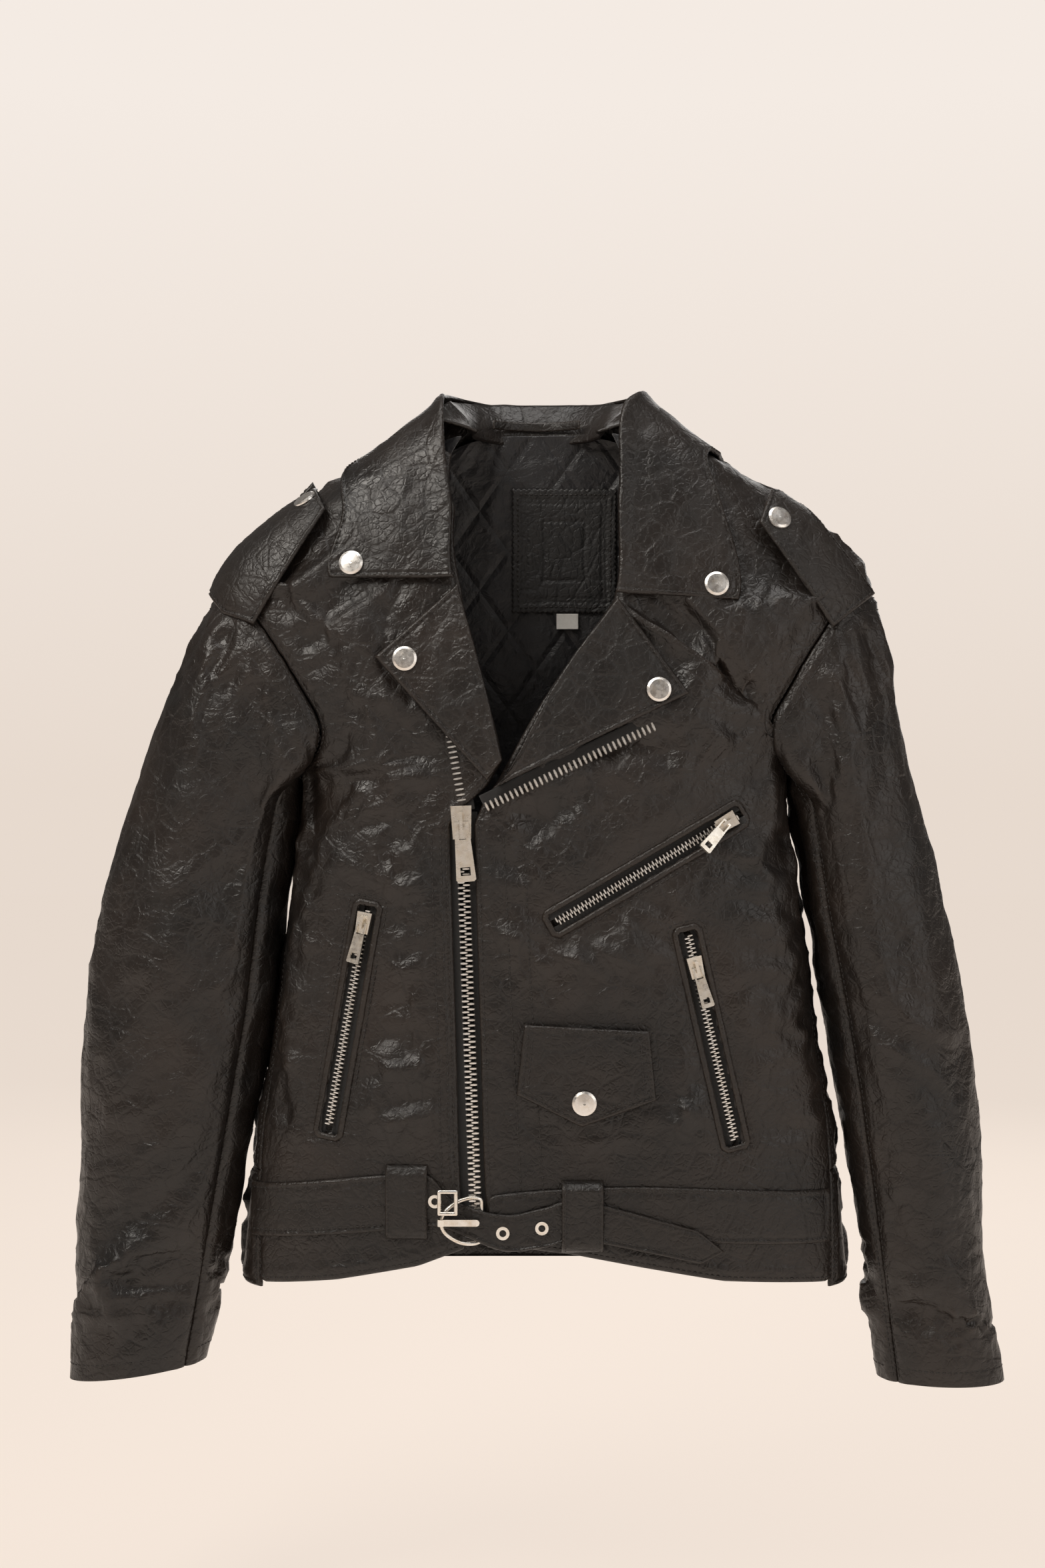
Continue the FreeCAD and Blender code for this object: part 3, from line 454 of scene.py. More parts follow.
def metal_material(name, color, tint, rough):
    """Plated metal: brushed streaks, small scratches and a warmer tint where the plate is worn."""
    m = Nodes(name)
    stretch = m.add("ShaderNodeMapping")
    stretch.inputs["Scale"].default_value = (1.0, 1.0, 0.08)
    m.link(m.place, stretch.inputs["Vector"])
    streaks = m.noise(2600.0, 3.0, 0.6, stretch.outputs[0])
    worn = m.ramp(m.noise(210.0, 4.0, 0.6), ((0.42, (0, 0, 0)), (0.68, (1, 1, 1))))
    # Lighter colour on sharp edges: a painted edge highlight.
    edge = m.ramp(m.add("ShaderNodeNewGeometry").outputs["Pointiness"], ((0.5, (0, 0, 0)), (0.62, (1, 1, 1))))
    body = m.blend(m.maths("MULTIPLY", worn, 0.75), color, tint)
    body = m.blend(m.maths("MULTIPLY", edge, 0.4), body, tuple(min(1.0, c * 1.15) for c in color))
    m.bump(((streaks, 0.00008, 0.35), (m.noise(700.0, 4.0), 0.0001, 0.25)))
    polish = m.ramp(m.noise(330.0, 4.0, 0.7), ((0.3, (rough - 0.08,) * 3), (0.8, (rough + 0.14,) * 3)))
    return m.set(Base_Color=body, Metallic=1.0, Roughness=polish)


def cloth_material(name, dark, light, weave, rough=0.85):
    """Plain woven tape or cloth."""
    m = Nodes(name)
    bands = []
    for direction in ("X", "Z"):
        wave = m.add("ShaderNodeTexWave", bands_direction=direction)
        wave.inputs["Scale"].default_value = weave
        m.link(m.place, wave.inputs["Vector"])
        bands.append(wave.outputs["Fac"])
    threads = m.maths("MULTIPLY", bands[0], bands[1])
    lint = m.noise(600.0, 4.0, 0.7)
    m.bump(((threads, 0.0002, 0.6), (lint, 0.0002, 0.4)))
    color = m.blend(lint, dark, light)
    m.set(Sheen_Weight=0.25)
    dull = m.ramp(lint, ((0.2, (rough - 0.1,) * 3), (0.8, (rough + 0.08,) * 3)))
    return m.set(Base_Color=color, Roughness=dull)


def thread_material():
    m = Nodes("stitch_thread")
    twist = m.noise(3000.0, 2.0)
    m.bump(((twist, 0.00015, 0.7),))
    color = m.blend(m.noise(120.0, 3.0), (0.008, 0.007, 0.007), (0.03, 0.024, 0.02))
    return m.set(Base_Color=color, Roughness=m.ramp(twist, ((0.2, (0.5,) * 3), (0.8, (0.7,) * 3))))


# The last argument sets how strong the lighter brown edges are: partly rubbed wear, partly a painted edge
# highlight.
LEATHER = leather_material("black_leather", (0.0085, 0.0070, 0.0062), (0.021, 0.0148, 0.0115), 0.38, 0.30)
STRAP_LEATHER = leather_material("strap_leather", (0.0085, 0.0072, 0.0065), (0.019, 0.014, 0.011), 0.40, 0.35)
LABEL_LEATHER = leather_material("label_leather", (0.009, 0.0088, 0.009), (0.017, 0.016, 0.016), 0.5, 0.2)
SATIN = quilt_material()
NICKEL = metal_material("brushed_nickel", (0.90, 0.88, 0.85), (0.74, 0.67, 0.58), 0.30)
TEETH_METAL = metal_material("zip_teeth_metal", (0.93, 0.91, 0.87), (0.80, 0.74, 0.66), 0.36)
SLIDER_METAL = metal_material("worn_slider_metal", (0.88, 0.84, 0.77), (0.72, 0.62, 0.48), 0.30)
BUCKLE_METAL = metal_material("buckle_nickel", (0.88, 0.85, 0.80), (0.70, 0.60, 0.47), 0.26)
TAPE_CLOTH = cloth_material("zip_tape_cloth", (0.006, 0.006, 0.006), (0.02, 0.019, 0.019), 900.0)
WHITE_CLOTH = cloth_material("white_tag_cloth", (0.62, 0.60, 0.56), (0.85, 0.83, 0.79), 800.0)
THREAD = thread_material()


# ---- leather sheets --------------------------------------------------------------------------------------
EDGE_RINGS = (0.5, 1.3, 2.2, 3.4, 4.6)
STITCH_INSET = 3.4


def rounded_edge(distance, radius):
    """0 at the border rising to 1 at that distance inward, along a quarter circle."""
    share = np.clip(distance / radius, 0, 1)
    return np.sqrt(np.clip(1 - (1 - share) ** 2, 0, 1))


def stitch_groove(distance, inset=STITCH_INSET):
    return np.exp(-((distance - inset) / 0.9) ** 2)


PUCKER_HEIGHT = 0.34
PUCKER_REACH = 3.2


def pucker(points, distance, inset=STITCH_INSET):
    """Small gathers that the thread pulls into the leather on both sides of a stitch line."""
    gathers = folds(points + 70, (0.6, 0.3, 1.0), 3.4, 1.3)
    gathers = gathers + 0.6 * folds(points + 22, (1.0, 0.3, -0.6), 4.6, 1.3)
    return PUCKER_HEIGHT * gathers * np.exp(-((distance - inset) / PUCKER_REACH) ** 2)


def length_of(line):
    line = np.asarray(line, float)
    return float(np.linalg.norm(np.diff(line, axis=0), axis=1).sum())


def smooth_line(points, count=24):
    """Catmull-Rom curve through a few points."""
    p = np.asarray(points, float)
    p = np.vstack((2 * p[0] - p[1], p, 2 * p[-1] - p[-2]))
    out = []
    for k in range(1, len(p) - 2):
        t = np.linspace(0, 1, count, endpoint=k == len(p) - 3)[:, None]
        a, b, c, d = p[k - 1], p[k], p[k + 1], p[k + 2]
        curve = 2 * b + (c - a) * t + (2 * a - 5 * b + 4 * c - d) * t ** 2 + (3 * b - a - 3 * c + d) * t ** 3
        out.append(curve / 2)
    return np.vstack(out)


def sheet_grid(sides, place, step=2.2, rings=EDGE_RINGS, level=None):
    """Grid of skin points and outward normals inside four domain lines (bottom, right, top, left)."""
    bottom, right, top, left = (np.asarray(side, float) for side in sides)
    size_u = max(length_of(place(bottom)), length_of(place(top)))
    size_v = max(length_of(place(left)), length_of(place(right)))
    across, upward = edge_shares(size_u, step, rings), edge_shares(size_v, step, rings)
    domain = coons(bottom, right, top, left, across, upward, level)
    points = place(domain)
    return domain, points, grid_normals(points)


def on_front(domain):
    return front_skin(domain[..., 0], domain[..., 1])


def flap_sheet(name, sides, offset, thickness, material, body, lift=None, groove="blrt", bump=0.25,
               place=on_front, step=2.2):
    """Thick leather flap with rounded cut edges, a stitched border and slight unevenness."""
    domain, points, normals = sheet_grid(sides, place, step)
    distance = border_distance(points)
    crown = rounded_edge(distance, thickness * 0.5)
    stitch = stitch_groove(border_distance(points, groove)) if groove else 0.0
    uneven = bump * folds(points, (0.3, 0, 1), 13.0, 2.2) + 0.12 * noise(points, 5.0)
    raise_by = lift(domain, points) if lift else np.zeros(points.shape[:2])
    middle = points + normals * (offset + thickness / 2 + raise_by)[..., None]
    uneven = uneven * np.clip(distance / 5.0, 0, 1) + pucker(points, distance) * np.clip(distance / 2.0, 0, 1)
    bead = 0.35 * np.exp(-((distance - 1.8) / 1.1) ** 2)
    upper = middle + normals * (crown * thickness / 2 + bead - 0.7 * stitch + uneven)[..., None]
    lower = middle - normals * (crown * thickness / 2)[..., None]
    mesh_points, faces = two_sided(upper, lower)
    piece = make_mesh(name, mesh_points, faces, material, body)
    return piece, domain, upper, normals


# ---- stitches, cords and small swept parts ---------------------------------------------------------------
def outward_sides(sides, place):
    """The same four sides, mirrored if needed so that the sheet's upper face looks away from the body."""
    bottom, right, top, left = (np.asarray(side, float) for side in sides)
    points = place(coons(bottom, right, top, left, np.linspace(0, 1, 5), np.linspace(0, 1, 5)))
    away = points - np.array((TORSO_X, SIDE_Y, 0.0))
    if (grid_normals(points) * away)[..., :2].sum() < 0:
        return bottom[::-1], left, top[::-1], right
    return bottom, right, top, left


class Strands:
    """Collects many small capsule-like threads and makes them one mesh."""

    def __init__(self):
        self.points, self.faces = [], []

    def stitch(self, start, end, normal, radius=0.42):
        axis = (end - start) / (np.linalg.norm(end - start) + 1e-9)
        side = np.cross(axis, normal)
        side = side / (np.linalg.norm(side) + 1e-9)
        first = len(self.points)
        stations = ((0.0, 0.35, -0.25), (0.22, 1.0, 0.12), (0.78, 1.0, 0.12), (1.0, 0.35, -0.25))
        for share, size, rise in stations:
            centre = start + (end - start) * share + normal * rise
            for k in range(6):
                angle = math.pi / 3 * k
                reach = side * math.cos(angle) * 1.1 + normal * math.sin(angle) * 0.8
                self.points.append(centre + reach * radius * size)
        for i in range(3):
            for k in range(6):
                a, b = first + i * 6 + k, first + i * 6 + (k + 1) % 6
                self.faces.append((a, b, b + 6, a + 6))
        self.faces.append(tuple(first + k for k in range(5, -1, -1)))
        self.faces.append(tuple(first + 18 + k for k in range(6)))

    def run(self, line, normals, pitch=3.6, gap=0.85):
        """Row of stitches along a line of points."""
        line, normals = np.asarray(line, float), np.asarray(normals, float)
        travel = np.concatenate(((0,), np.cumsum(np.linalg.norm(np.diff(line, axis=0), axis=1))))
        count = int(travel[-1] / pitch)
        for k in range(count):
            ends = []
            for s in (k * pitch + gap / 2, (k + 1) * pitch - gap / 2):
                ends.append(np.array([np.interp(s, travel, line[:, c]) for c in range(3)]))
            middle = (k + 0.5) * pitch
            normal = np.array([np.interp(middle, travel, normals[:, c]) for c in range(3)])
            self.stitch(ends[0], ends[1], normal / (np.linalg.norm(normal) + 1e-9))

    def make(self, name, body, material=None):
        if self.points:
            return make_mesh(name, self.points, self.faces, material or THREAD, body)


def border_lines(upper, normals, inset, sides="blrt"):
    """Lines of points that run `inset` inside the named sides of a grid."""
    rows, columns = upper.shape[:2]
    lines = []

    def inset_index(lengths):
        travel = np.concatenate(((0,), np.cumsum(lengths)))
        return int(np.argmin(np.abs(travel - inset)))

    mid_row = np.linalg.norm(np.diff(upper[rows // 2], axis=0), axis=-1)
    mid_col = np.linalg.norm(np.diff(upper[:, columns // 2], axis=0), axis=-1)
    left, right = inset_index(mid_row), columns - 1 - inset_index(mid_row[::-1])
    low, high = inset_index(mid_col), rows - 1 - inset_index(mid_col[::-1])
    spans = {"b": (low, slice(left, right + 1)), "t": (high, slice(left, right + 1)),
             "l": (slice(low, high + 1), left), "r": (slice(low, high + 1), right)}
    for side in sides:
        lines.append((upper[spans[side]], normals[spans[side]]))
    return lines


def stitched(name, piece_data, body, inset=STITCH_INSET, sides="blrt", extra=()):
    """Threads along the borders of a sheet."""
    _, _, upper, normals = piece_data
    strands = Strands()
    for line, line_normals in border_lines(upper, normals, inset, sides):
        strands.run(line, line_normals)
    for line, line_normals in extra:
        strands.run(line, line_normals)
    return strands.make(name, body)


def tube(path, radius, normals=None, sides=10, closed=False, squash=1.0):
    """Points and faces of a round or oval cord along a path."""
    path = np.asarray(path, float)
    radius = np.broadcast_to(radius, (len(path),))
    tangent = np.gradient(path, axis=0)
    if closed:
        tangent = np.roll(path, -1, 0) - np.roll(path, 1, 0)
    tangent = tangent / (np.linalg.norm(tangent, axis=1, keepdims=True) + 1e-9)
    up = np.asarray(normals, float) if normals is not None else np.tile((0.0, -1.0, 0.1), (len(path), 1))
    side = np.cross(tangent, up)
    side = side / (np.linalg.norm(side, axis=1, keepdims=True) + 1e-9)
    up = np.cross(side, tangent)
    angles = np.arange(sides) * 2 * math.pi / sides
    ring = side[:, None] * np.cos(angles)[None, :, None]
    ring = ring + up[:, None] * (squash * np.sin(angles))[None, :, None]
    points = path[:, None] + ring * radius[:, None, None]
    faces = grid_faces(len(path), sides, wrap=True, flip=True)
    total = len(path) * sides
    if closed:
        faces += [(total - sides + j, total - sides + (j + 1) % sides, (j + 1) % sides, j)[::-1]
                  for j in range(sides)]
    else:
        faces.append(tuple(range(sides)))
        faces.append(tuple(range(total - 1, total - sides - 1, -1)))
    return points.reshape(-1, 3), faces


def join_parts(parts):
    points, faces = [], []
    for part_points, part_faces in parts:
        start = sum(len(p) for p in points)
        points.append(np.asarray(part_points).reshape(-1, 3))
        faces.extend(tuple(start + k for k in face) for face in part_faces)
    return np.concatenate(points), faces


# ---- cloth simulation of the big panels ------------------------------------------------------------------
SIM_FRAMES = 22


def bring_up(coarse, upward, across):
    """Coarse, evenly shared grid values at other shares, softened between the coarse points."""
    r, c = np.asarray(upward) * (coarse.shape[0] - 1), np.asarray(across) * (coarse.shape[1] - 1)
    r0, c0 = np.minimum(r.astype(int), coarse.shape[0] - 2), np.minimum(c.astype(int), coarse.shape[1] - 2)
    fr, fc = (r - r0)[..., None], (c - c0)[..., None]
    fr, fc = fr * fr * (3 - 2 * fr), fc * fc * (3 - 2 * fc)
    low = coarse[r0, c0] * (1 - fc) + coarse[r0, c0 + 1] * fc
    high = coarse[r0 + 1, c0] * (1 - fc) + coarse[r0 + 1, c0 + 1] * fc
    return low * (1 - fr) + high * fr


def grid_shares(points):
    """Upward and across share of every grid point, measured along the middle lines."""
    out = []
    for line in (points[:, points.shape[1] // 2], points[points.shape[0] // 2]):
        travel = np.concatenate(((0,), np.cumsum(np.linalg.norm(np.diff(line, axis=0), axis=1))))
        out.append(travel / travel[-1])
    return np.meshgrid(*out, indexing="ij")


def simulate(points, pins, grow=0.05, gravity=0.25, pressure=0.0, wrap=False, cap=7.0):
    """Lets a grid of leather, a little too big for its pinned borders, buckle and settle.

    Returns each point's displacement in millimetres, never longer than cap."""
    rows, columns = points.shape[:2]
    mesh = bpy.data.meshes.new("cloth")
    mesh.from_pydata((points.reshape(-1, 3) * MM).tolist(), [], grid_faces(rows, columns, wrap=wrap))
    cloth = bpy.data.objects.new("cloth", mesh)
    bpy.context.scene.collection.objects.link(cloth)
    group = cloth.vertex_groups.new(name="pins")
    for index, weight in enumerate(pins.ravel()):
        if weight > 0.003:
            group.add([index], float(weight), "REPLACE")
    modifier = cloth.modifiers.new("Cloth", "CLOTH")
    settings = modifier.settings
    settings.quality = 5
    settings.mass = 0.4
    settings.tension_stiffness = 25
    settings.compression_stiffness = 25
    settings.shear_stiffness = 12
    settings.bending_stiffness = 0.9
    settings.air_damping = 2.0
    settings.shrink_min = -grow
    settings.vertex_group_mass = "pins"
    settings.pin_stiffness = 4.0
    settings.effector_weights.gravity = gravity
    if pressure:
        settings.use_pressure = True
        settings.uniform_pressure_force = pressure
    scene = bpy.context.scene
    modifier.point_cache.frame_start, modifier.point_cache.frame_end = 1, SIM_FRAMES
    for number in range(1, SIM_FRAMES + 1):
        scene.frame_set(number)
    evaluated = cloth.evaluated_get(bpy.context.evaluated_depsgraph_get())
    moved = np.zeros(rows * columns * 3, np.float32)
    evaluated.data.vertices.foreach_get("co", moved)
    shift = moved.reshape(rows, columns, 3) / MM - points
    bpy.data.objects.remove(cloth)
    scene.frame_set(1)
    size = np.linalg.norm(shift, axis=-1, keepdims=True)
    return shift * np.minimum(1, cap / np.maximum(size, 1e-6)) * (1 - np.clip(pins, 0, 1))[..., None]


# ---- torso panels ----------------------------------------------------------------------------------------
ARMHOLE = {
    -1: (np.array((-203.0, SIDE_Y, -106.0)), np.array((-143.5, SIDE_Y, -205.0))),
    1: (np.array((207.0, SIDE_Y, -113.0)), np.array((153.5, SIDE_Y, -205.0))),
}
ARMHOLE_TURN = 0.4


def armhole_side(points, side):
    """How far points lie beyond the armhole plane."""
    top, armpit = ARMHOLE[side]
    forward = np.array((-side * ARMHOLE_TURN, -1, 0)) / math.hypot(ARMHOLE_TURN, 1)
    normal = np.cross(top - armpit, forward)
    normal = normal / np.linalg.norm(normal)
    normal = normal * (1 if normal[0] * side > 0 else -1)
    return (points - armpit) @ normal


def armhole_span(side):
    heights = np.arange(-212.0, -90.0, 0.5)
    beyond = armhole_side(torso(np.full(len(heights), float(side)), heights), side) > 0
    inside = heights[beyond]
    return inside[0], inside[-1]


def armhole_sigma(side, heights, back):
    """Arc coordinate where the front or back of the torso meets the armhole plane."""
    out = []
    sizes = np.linspace(1.0, 1.7, 200) if back else np.linspace(1.0, 0.3, 200)
    for one_z in heights:
        beyond = armhole_side(torso(side * sizes, np.full(200, one_z)), side)
        first = np.argmax(beyond <= 0)
        out.append(side * sizes[first])
    return np.array(out)


ARMPIT_HEIGHT = -217.0
PANEL_STEP = 2.6


def armhole_line(side, back, count=46):
    """Armhole edge from the side seam, scooped round the armpit, up to the shoulder seam."""
    high = armhole_span(side)[1]
    angle = np.linspace(math.pi, 0, count)
    heights = (ARMPIT_HEIGHT + high) / 2 + (high - ARMPIT_HEIGHT) / 2 * np.cos(angle)
    plane = armhole_sigma(side, np.maximum(heights, ARMHOLE[side][1][2] - 4), back)
    low_turn = np.clip((heights - ARMPIT_HEIGHT) / 34, 0, 1)
    high_turn = np.clip((high - heights) / 7, 0, 1)
    weight = np.sqrt(1 - (1 - np.minimum(low_turn, high_turn)) ** 2)
    sigma = seam_sigma(heights, side) * (1 - weight) + plane * weight
    return np.stack((sigma, heights), -1)


def side_seam_line(side, low, high, count=30):
    heights = np.linspace(low, high, count)
    return np.stack((seam_sigma(heights, side), heights), -1)


def front_line(points):
    points = np.asarray(points, float)
    return np.stack((sigma_of(points[:, 0], points[:, 1]), points[:, 1]), -1)


MAIN_TOP, MAIN_BOTTOM = np.array((-45.6, -249.0)), np.array((-37.0, -492.0))
ZIPS = {
    "chest": (np.array((121.0, -247.0)), np.array((11.0, -311.0))),
    "hand_right": (np.array((-103.0, -304.0)), np.array((-126.5, -437.0))),
    "hand_left": (np.array((90.6, -319.0)), np.array((119.2, -443.5))),
}
COIN_POCKET_AREA = (29, -403, 42, 32)
SHOULDER_POINT = 8.0
FRONT_EDGE = {
    -1: ((-44.5, -508), (-52.8, -252), (-46, -243), (-30, -229), (-21, -214), (-46, -110), (-50, -60),
         (-52, -25)),
    1: ((-30.0, -507), (-38.0, -252), (-33, -240), (-24, -226), (46, -117), (50, -60), (54, -25)),
}


def zip_place(points, ends):
    """Distance along and across a zip, in the XZ plane, of 3-D points."""
    start, end = ends
    run = (end - start) / np.linalg.norm(end - start)
    offset = points[..., (0, 2)] - start
    return offset @ run, offset @ np.array((-run[1], run[0])), np.linalg.norm(end - start)


def calm_mask(points):
    """1 where the leather is free to crease, 0 where hardware holds it flat."""
    mask = np.ones(points.shape[:-1])
    front = points[..., 1] < SIDE_Y
    for ends in ZIPS.values():
        along, across, length = zip_place(points, ends)
        past = np.maximum(np.maximum(-along - 6, along - length - 6), 0)
        near = np.hypot(past, np.maximum(np.abs(across) - 9, 0))
        mask = np.where(front, np.minimum(mask, np.clip(near / 16, 0, 1)), mask)
    along, across, length = zip_place(points, (MAIN_TOP, MAIN_BOTTOM))
    mask = np.where(front, np.minimum(mask, np.clip((np.abs(across) - 9) / 14, 0.08, 1)), mask)
    low_belt = np.clip((points[..., 2] + 452) / 16, 0.12, 1)
    mask = np.where(front, np.minimum(mask, low_belt), mask)
    x, z, half_x, half_z = COIN_POCKET_AREA
    away = np.hypot(np.maximum(np.abs(points[..., 0] - x) - half_x, 0),
                    np.maximum(np.abs(points[..., 2] - z) - half_z, 0))
    return np.where(front, np.minimum(mask, np.clip(away / 14, 0.25, 1)), mask)


def torso_creases(points):
    """Soft folds and finer creases of the body, in millimetres outward."""
    side = np.sign(points[..., 0] - TORSO_X)
    side_share = np.clip(np.abs(points[..., 0] - TORSO_X) / 150, 0, 1)
    low = np.clip((-points[..., 2] - 300) / 160, 0, 1)
    down = 2.4 * folds(points, (0.12, 0, 1), 34.0, 3.4, 0.75) * (0.45 + 0.55 * side_share)
    drag = 1.9 * folds(points, (0.75, 0.2, 1.0), 22.0, 2.8, 0.7) * np.where(side > 0, 1, 0.35)
    drag = drag + 1.9 * folds(points + 90, (-0.75, 0.2, 1.0), 22.0, 2.8, 0.7) * np.where(side < 0, 1, 0.35)
    slump = 2.1 * folds(points + 40, (1.0, 0.2, 0.12), 17.0, 3.5, 0.85) * low * side_share
    fine = 0.7 * folds(points + 15, (0.4, 0, 1), 8.0, 2.0) + 0.3 * folds(points + 57, (1, 0, 0.4), 4.5, 1.8)
    return down + drag + slump + fine


def zip_chord(ends):
    """Straight 3-D line of a zip chain: its two ends."""
    start, end = ends
    depth = -0.4 if ends is ZIPS["chest"] else 2.6
    push = np.array((0, depth, 0))
    return front_skin(*start) + push, front_skin(*end) + push


def zip_dip(points):
    """How far the leather beside each pocket zip dips so that it follows the straight chain."""
    dip = np.zeros(points.shape[:-1])
    for ends in ZIPS.values():
        along, across, length = zip_place(points, ends)
        share = np.clip(along / length, 0, 1)
        first, last = zip_chord(ends)
        line = ends[0] + share[..., None] * (ends[1] - ends[0])
        gap = first[1] + share * (last[1] - first[1]) - front_skin(line[..., 0], line[..., 1])[..., 1]
        past = np.maximum(np.maximum(-along, along - length), 0)
        near = np.exp(-(np.hypot(across, past) / 15) ** 2)
        front = points[..., 1] < SIDE_Y - 20
        dip = np.where(front, np.maximum(dip, np.clip(gap - 2.0, 0, 8) * near), dip)
    return dip


def pocket_recess(points):
    """Slots of the pocket zips, sunk below the leather."""
    sink = np.zeros(points.shape[:-1])
    for ends in ZIPS.values():
        along, across, length = zip_place(points, ends)
        inside = np.clip((6.4 - np.abs(across)) / 1.2, 0, 1)
        inside = inside * np.clip((along + 4) / 1.5, 0, 1) * np.clip((length + 4 - along) / 1.5, 0, 1)
        sink = np.where(points[..., 1] < SIDE_Y - 20, np.maximum(sink, inside), sink)
    return -6.0 * sink


def torso_panel(name, sides, node, front=True):
    """One leather panel of the body: simulated buckles, creases, sunk seams and stitching."""
    level = ARMPIT_HEIGHT if front else None
    domain, points, normals = sheet_grid(sides, on_torso, PANEL_STEP, level=level)
    coarse_domain = coons(*sides, np.linspace(0, 1, 34), np.linspace(0, 1, 56), level)
    coarse = on_torso(coarse_domain)
    coarse_border = border_distance(coarse)
    pins = np.clip(1.4 - coarse_border / 14, 0, 1)
    pins = np.maximum(pins, 1 - np.clip(calm_mask(coarse) * 1.6, 0, 1))
    shift = simulate(coarse, pins, grow=0.036, cap=4.8)
    fine_shift = bring_up(shift, *grid_shares(points))
    distance = border_distance(points)
    free = np.clip(distance / 12, 0, 1) * calm_mask(points)
    height = torso_creases(points) * free
    height = height - 1.5 * (1 - rounded_edge(distance, 3.0)) + 0.5 * np.exp(-((distance - 6.5) / 3.0) ** 2)
    height = height - 0.5 * stitch_groove(distance)
    height = height + 1.6 * pucker(points, distance, 5.0) * np.clip(distance / 3.0, 0, 1)
    if front:
        height = height + pocket_recess(points) - zip_dip(points)
    upper = points + fine_shift * free[..., None] + normals * height[..., None]
    lower = points - normals * (2.0 - 0.4 * (1 - rounded_edge(distance, 2.0)))[..., None]
    lower = lower + fine_shift * free[..., None] + normals * (np.minimum(height, 0) * 0.9)[..., None]
    mesh_points, faces = two_sided(upper, lower)
    piece = make_mesh(name, mesh_points, faces, LEATHER, "root")
    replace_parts(piece, node)
    top_normals = grid_normals(upper)
    placket = []
    if front:
        columns = domain.shape[1]
        edge_column = 0 if abs(domain[0, 0, 0]) < abs(domain[0, -1, 0]) else columns - 1
        inward = 1 if edge_column == 0 else -1
        tall = domain[:, edge_column, 1] < MAIN_TOP[1] - 4
        for steps in (4, 9):
            column = edge_column + inward * (len(EDGE_RINGS) + steps)
            placket.append((upper[tall, column], top_normals[tall, column]))
    stitched(name + "_stitches", (domain, points, upper, top_normals), "root", extra=placket)


def build_torso():
    for side, name in ((-1, "front_panel_right"), (1, "front_panel_left")):
        seam_low = side_seam_line(side, -531.0, ARMPIT_HEIGHT)
        outer = np.vstack((seam_low, armhole_line(side, False)[1:]))
        shoulder = side_seam_line(side, armhole_span(side)[1], SHOULDER_POINT)
        shoulder[0] = outer[-1]
        edge = np.vstack((front_line(FRONT_EDGE[side]), shoulder[-1:]))
        inner_x, outer_x = FRONT_EDGE[side][0][0], 5 + side * 172
        hem_x = np.linspace(inner_x, outer_x, 30)
        hem = front_line(np.stack((hem_x, np.interp(hem_x, FRONT_HEM[:, 0], FRONT_HEM[:, 1])), -1))
        hem = np.vstack((hem, outer[:1]))
        if side < 0:
            torso_panel(name + "_leather", (hem[::-1], edge, shoulder, outer), name)
        else:
            torso_panel(name + "_leather", (hem, outer, shoulder[::-1], edge), name)
    build_back()


def seam_up(side, low, high):
    """Side seam and back armhole of the back panels, from low to high."""
    parts = []
    if low < ARMPIT_HEIGHT:
        parts.append(side_seam_line(side, low, min(high, ARMPIT_HEIGHT)))
    if high > ARMPIT_HEIGHT:
        arm = armhole_line(side, True)
        bottom, top = max(low, ARMPIT_HEIGHT), min(high, arm[-1, 1])
        heights = np.concatenate(((bottom,), arm[(arm[:, 1] > bottom) & (arm[:, 1] < top), 1], (top,)))
        parts.append(np.stack((np.interp(heights, arm[:, 1], arm[:, 0]), heights), -1))
    line = np.vstack(parts)
    if side < 0:
        line[:, 0] += 4
    return line


def straight_line(left, right, count=70):
    return np.stack((np.linspace(left[0], right[0], count), np.linspace(left[1], right[1], count)), -1)


def build_back():
    bands = (("back_waist_panel", BACK_HEM, WAIST_SEAM), ("back_panel", WAIST_SEAM, YOKE_SEAM))
    for name, low, high in bands:
        left, right = seam_up(1, low, high), seam_up(-1, low, high)
        sides = (straight_line(left[0], right[0]), right, straight_line(left[-1], right[-1]), left)
        torso_panel(name + "_leather", sides, name, front=False)
    left, right = seam_up(1, YOKE_SEAM, 0.0), seam_up(-1, YOKE_SEAM, 0.0)
    shoulder_left = side_seam_line(1, left[-1][1], SHOULDER_POINT)
    shoulder_right = side_seam_line(-1, right[-1][1], SHOULDER_POINT)
    shoulder_right[:, 0] += 4
    left, right = np.vstack((left, shoulder_left[1:])), np.vstack((right, shoulder_right[1:]))
    neck = straight_line(left[-1], right[-1])
    neck[:, 1] -= 6 * np.sin(np.linspace(0, math.pi, len(neck)))
    sides = (straight_line(left[0], right[0]), right, neck, left)
    torso_panel("back_yoke_leather", sides, "back_yoke", front=False)


# ---- sleeves ---------------------------------------------------------------------------------------------
SLEEVE_OUTER = {
    -1: ((-203, -106), (-222.4, -154), (-248, -221), (-270, -292), (-283.6, -371),
         (-285, -447), (-287.5, -523), (-291, -597)),
    1: ((207, -113), (218, -160), (236.6, -228), (254, -295), (269, -371),
        (277, -447), (279.5, -523), (291, -598)),
}
SLEEVE_INNER = {
    -1: ((-143.5, -205), (-147, -232), (-152, -262), (-158, -308), (-165, -371),
         (-179.5, -447), (-194, -523), (-206, -585)),
    1: ((153.5, -205), (158, -232), (163, -262), (168.5, -308), (180, -371),
        (192, -447), (203, -523), (212, -596)),
}
SLEEVE_Y = np.array((-38, -40, -42, -45, -48, -50, -52, -54), float)
SLEEVE_DEPTH = np.array((45, 46, 45, 43, 41, 37, 31, 27), float)
SLEEVE_SEAMS = (-41.0, 139.0, 319.0)
CUFF_ZIP_ANGLE = 240.0
SIDE_NAMES = {-1: "right", 1: "left"}


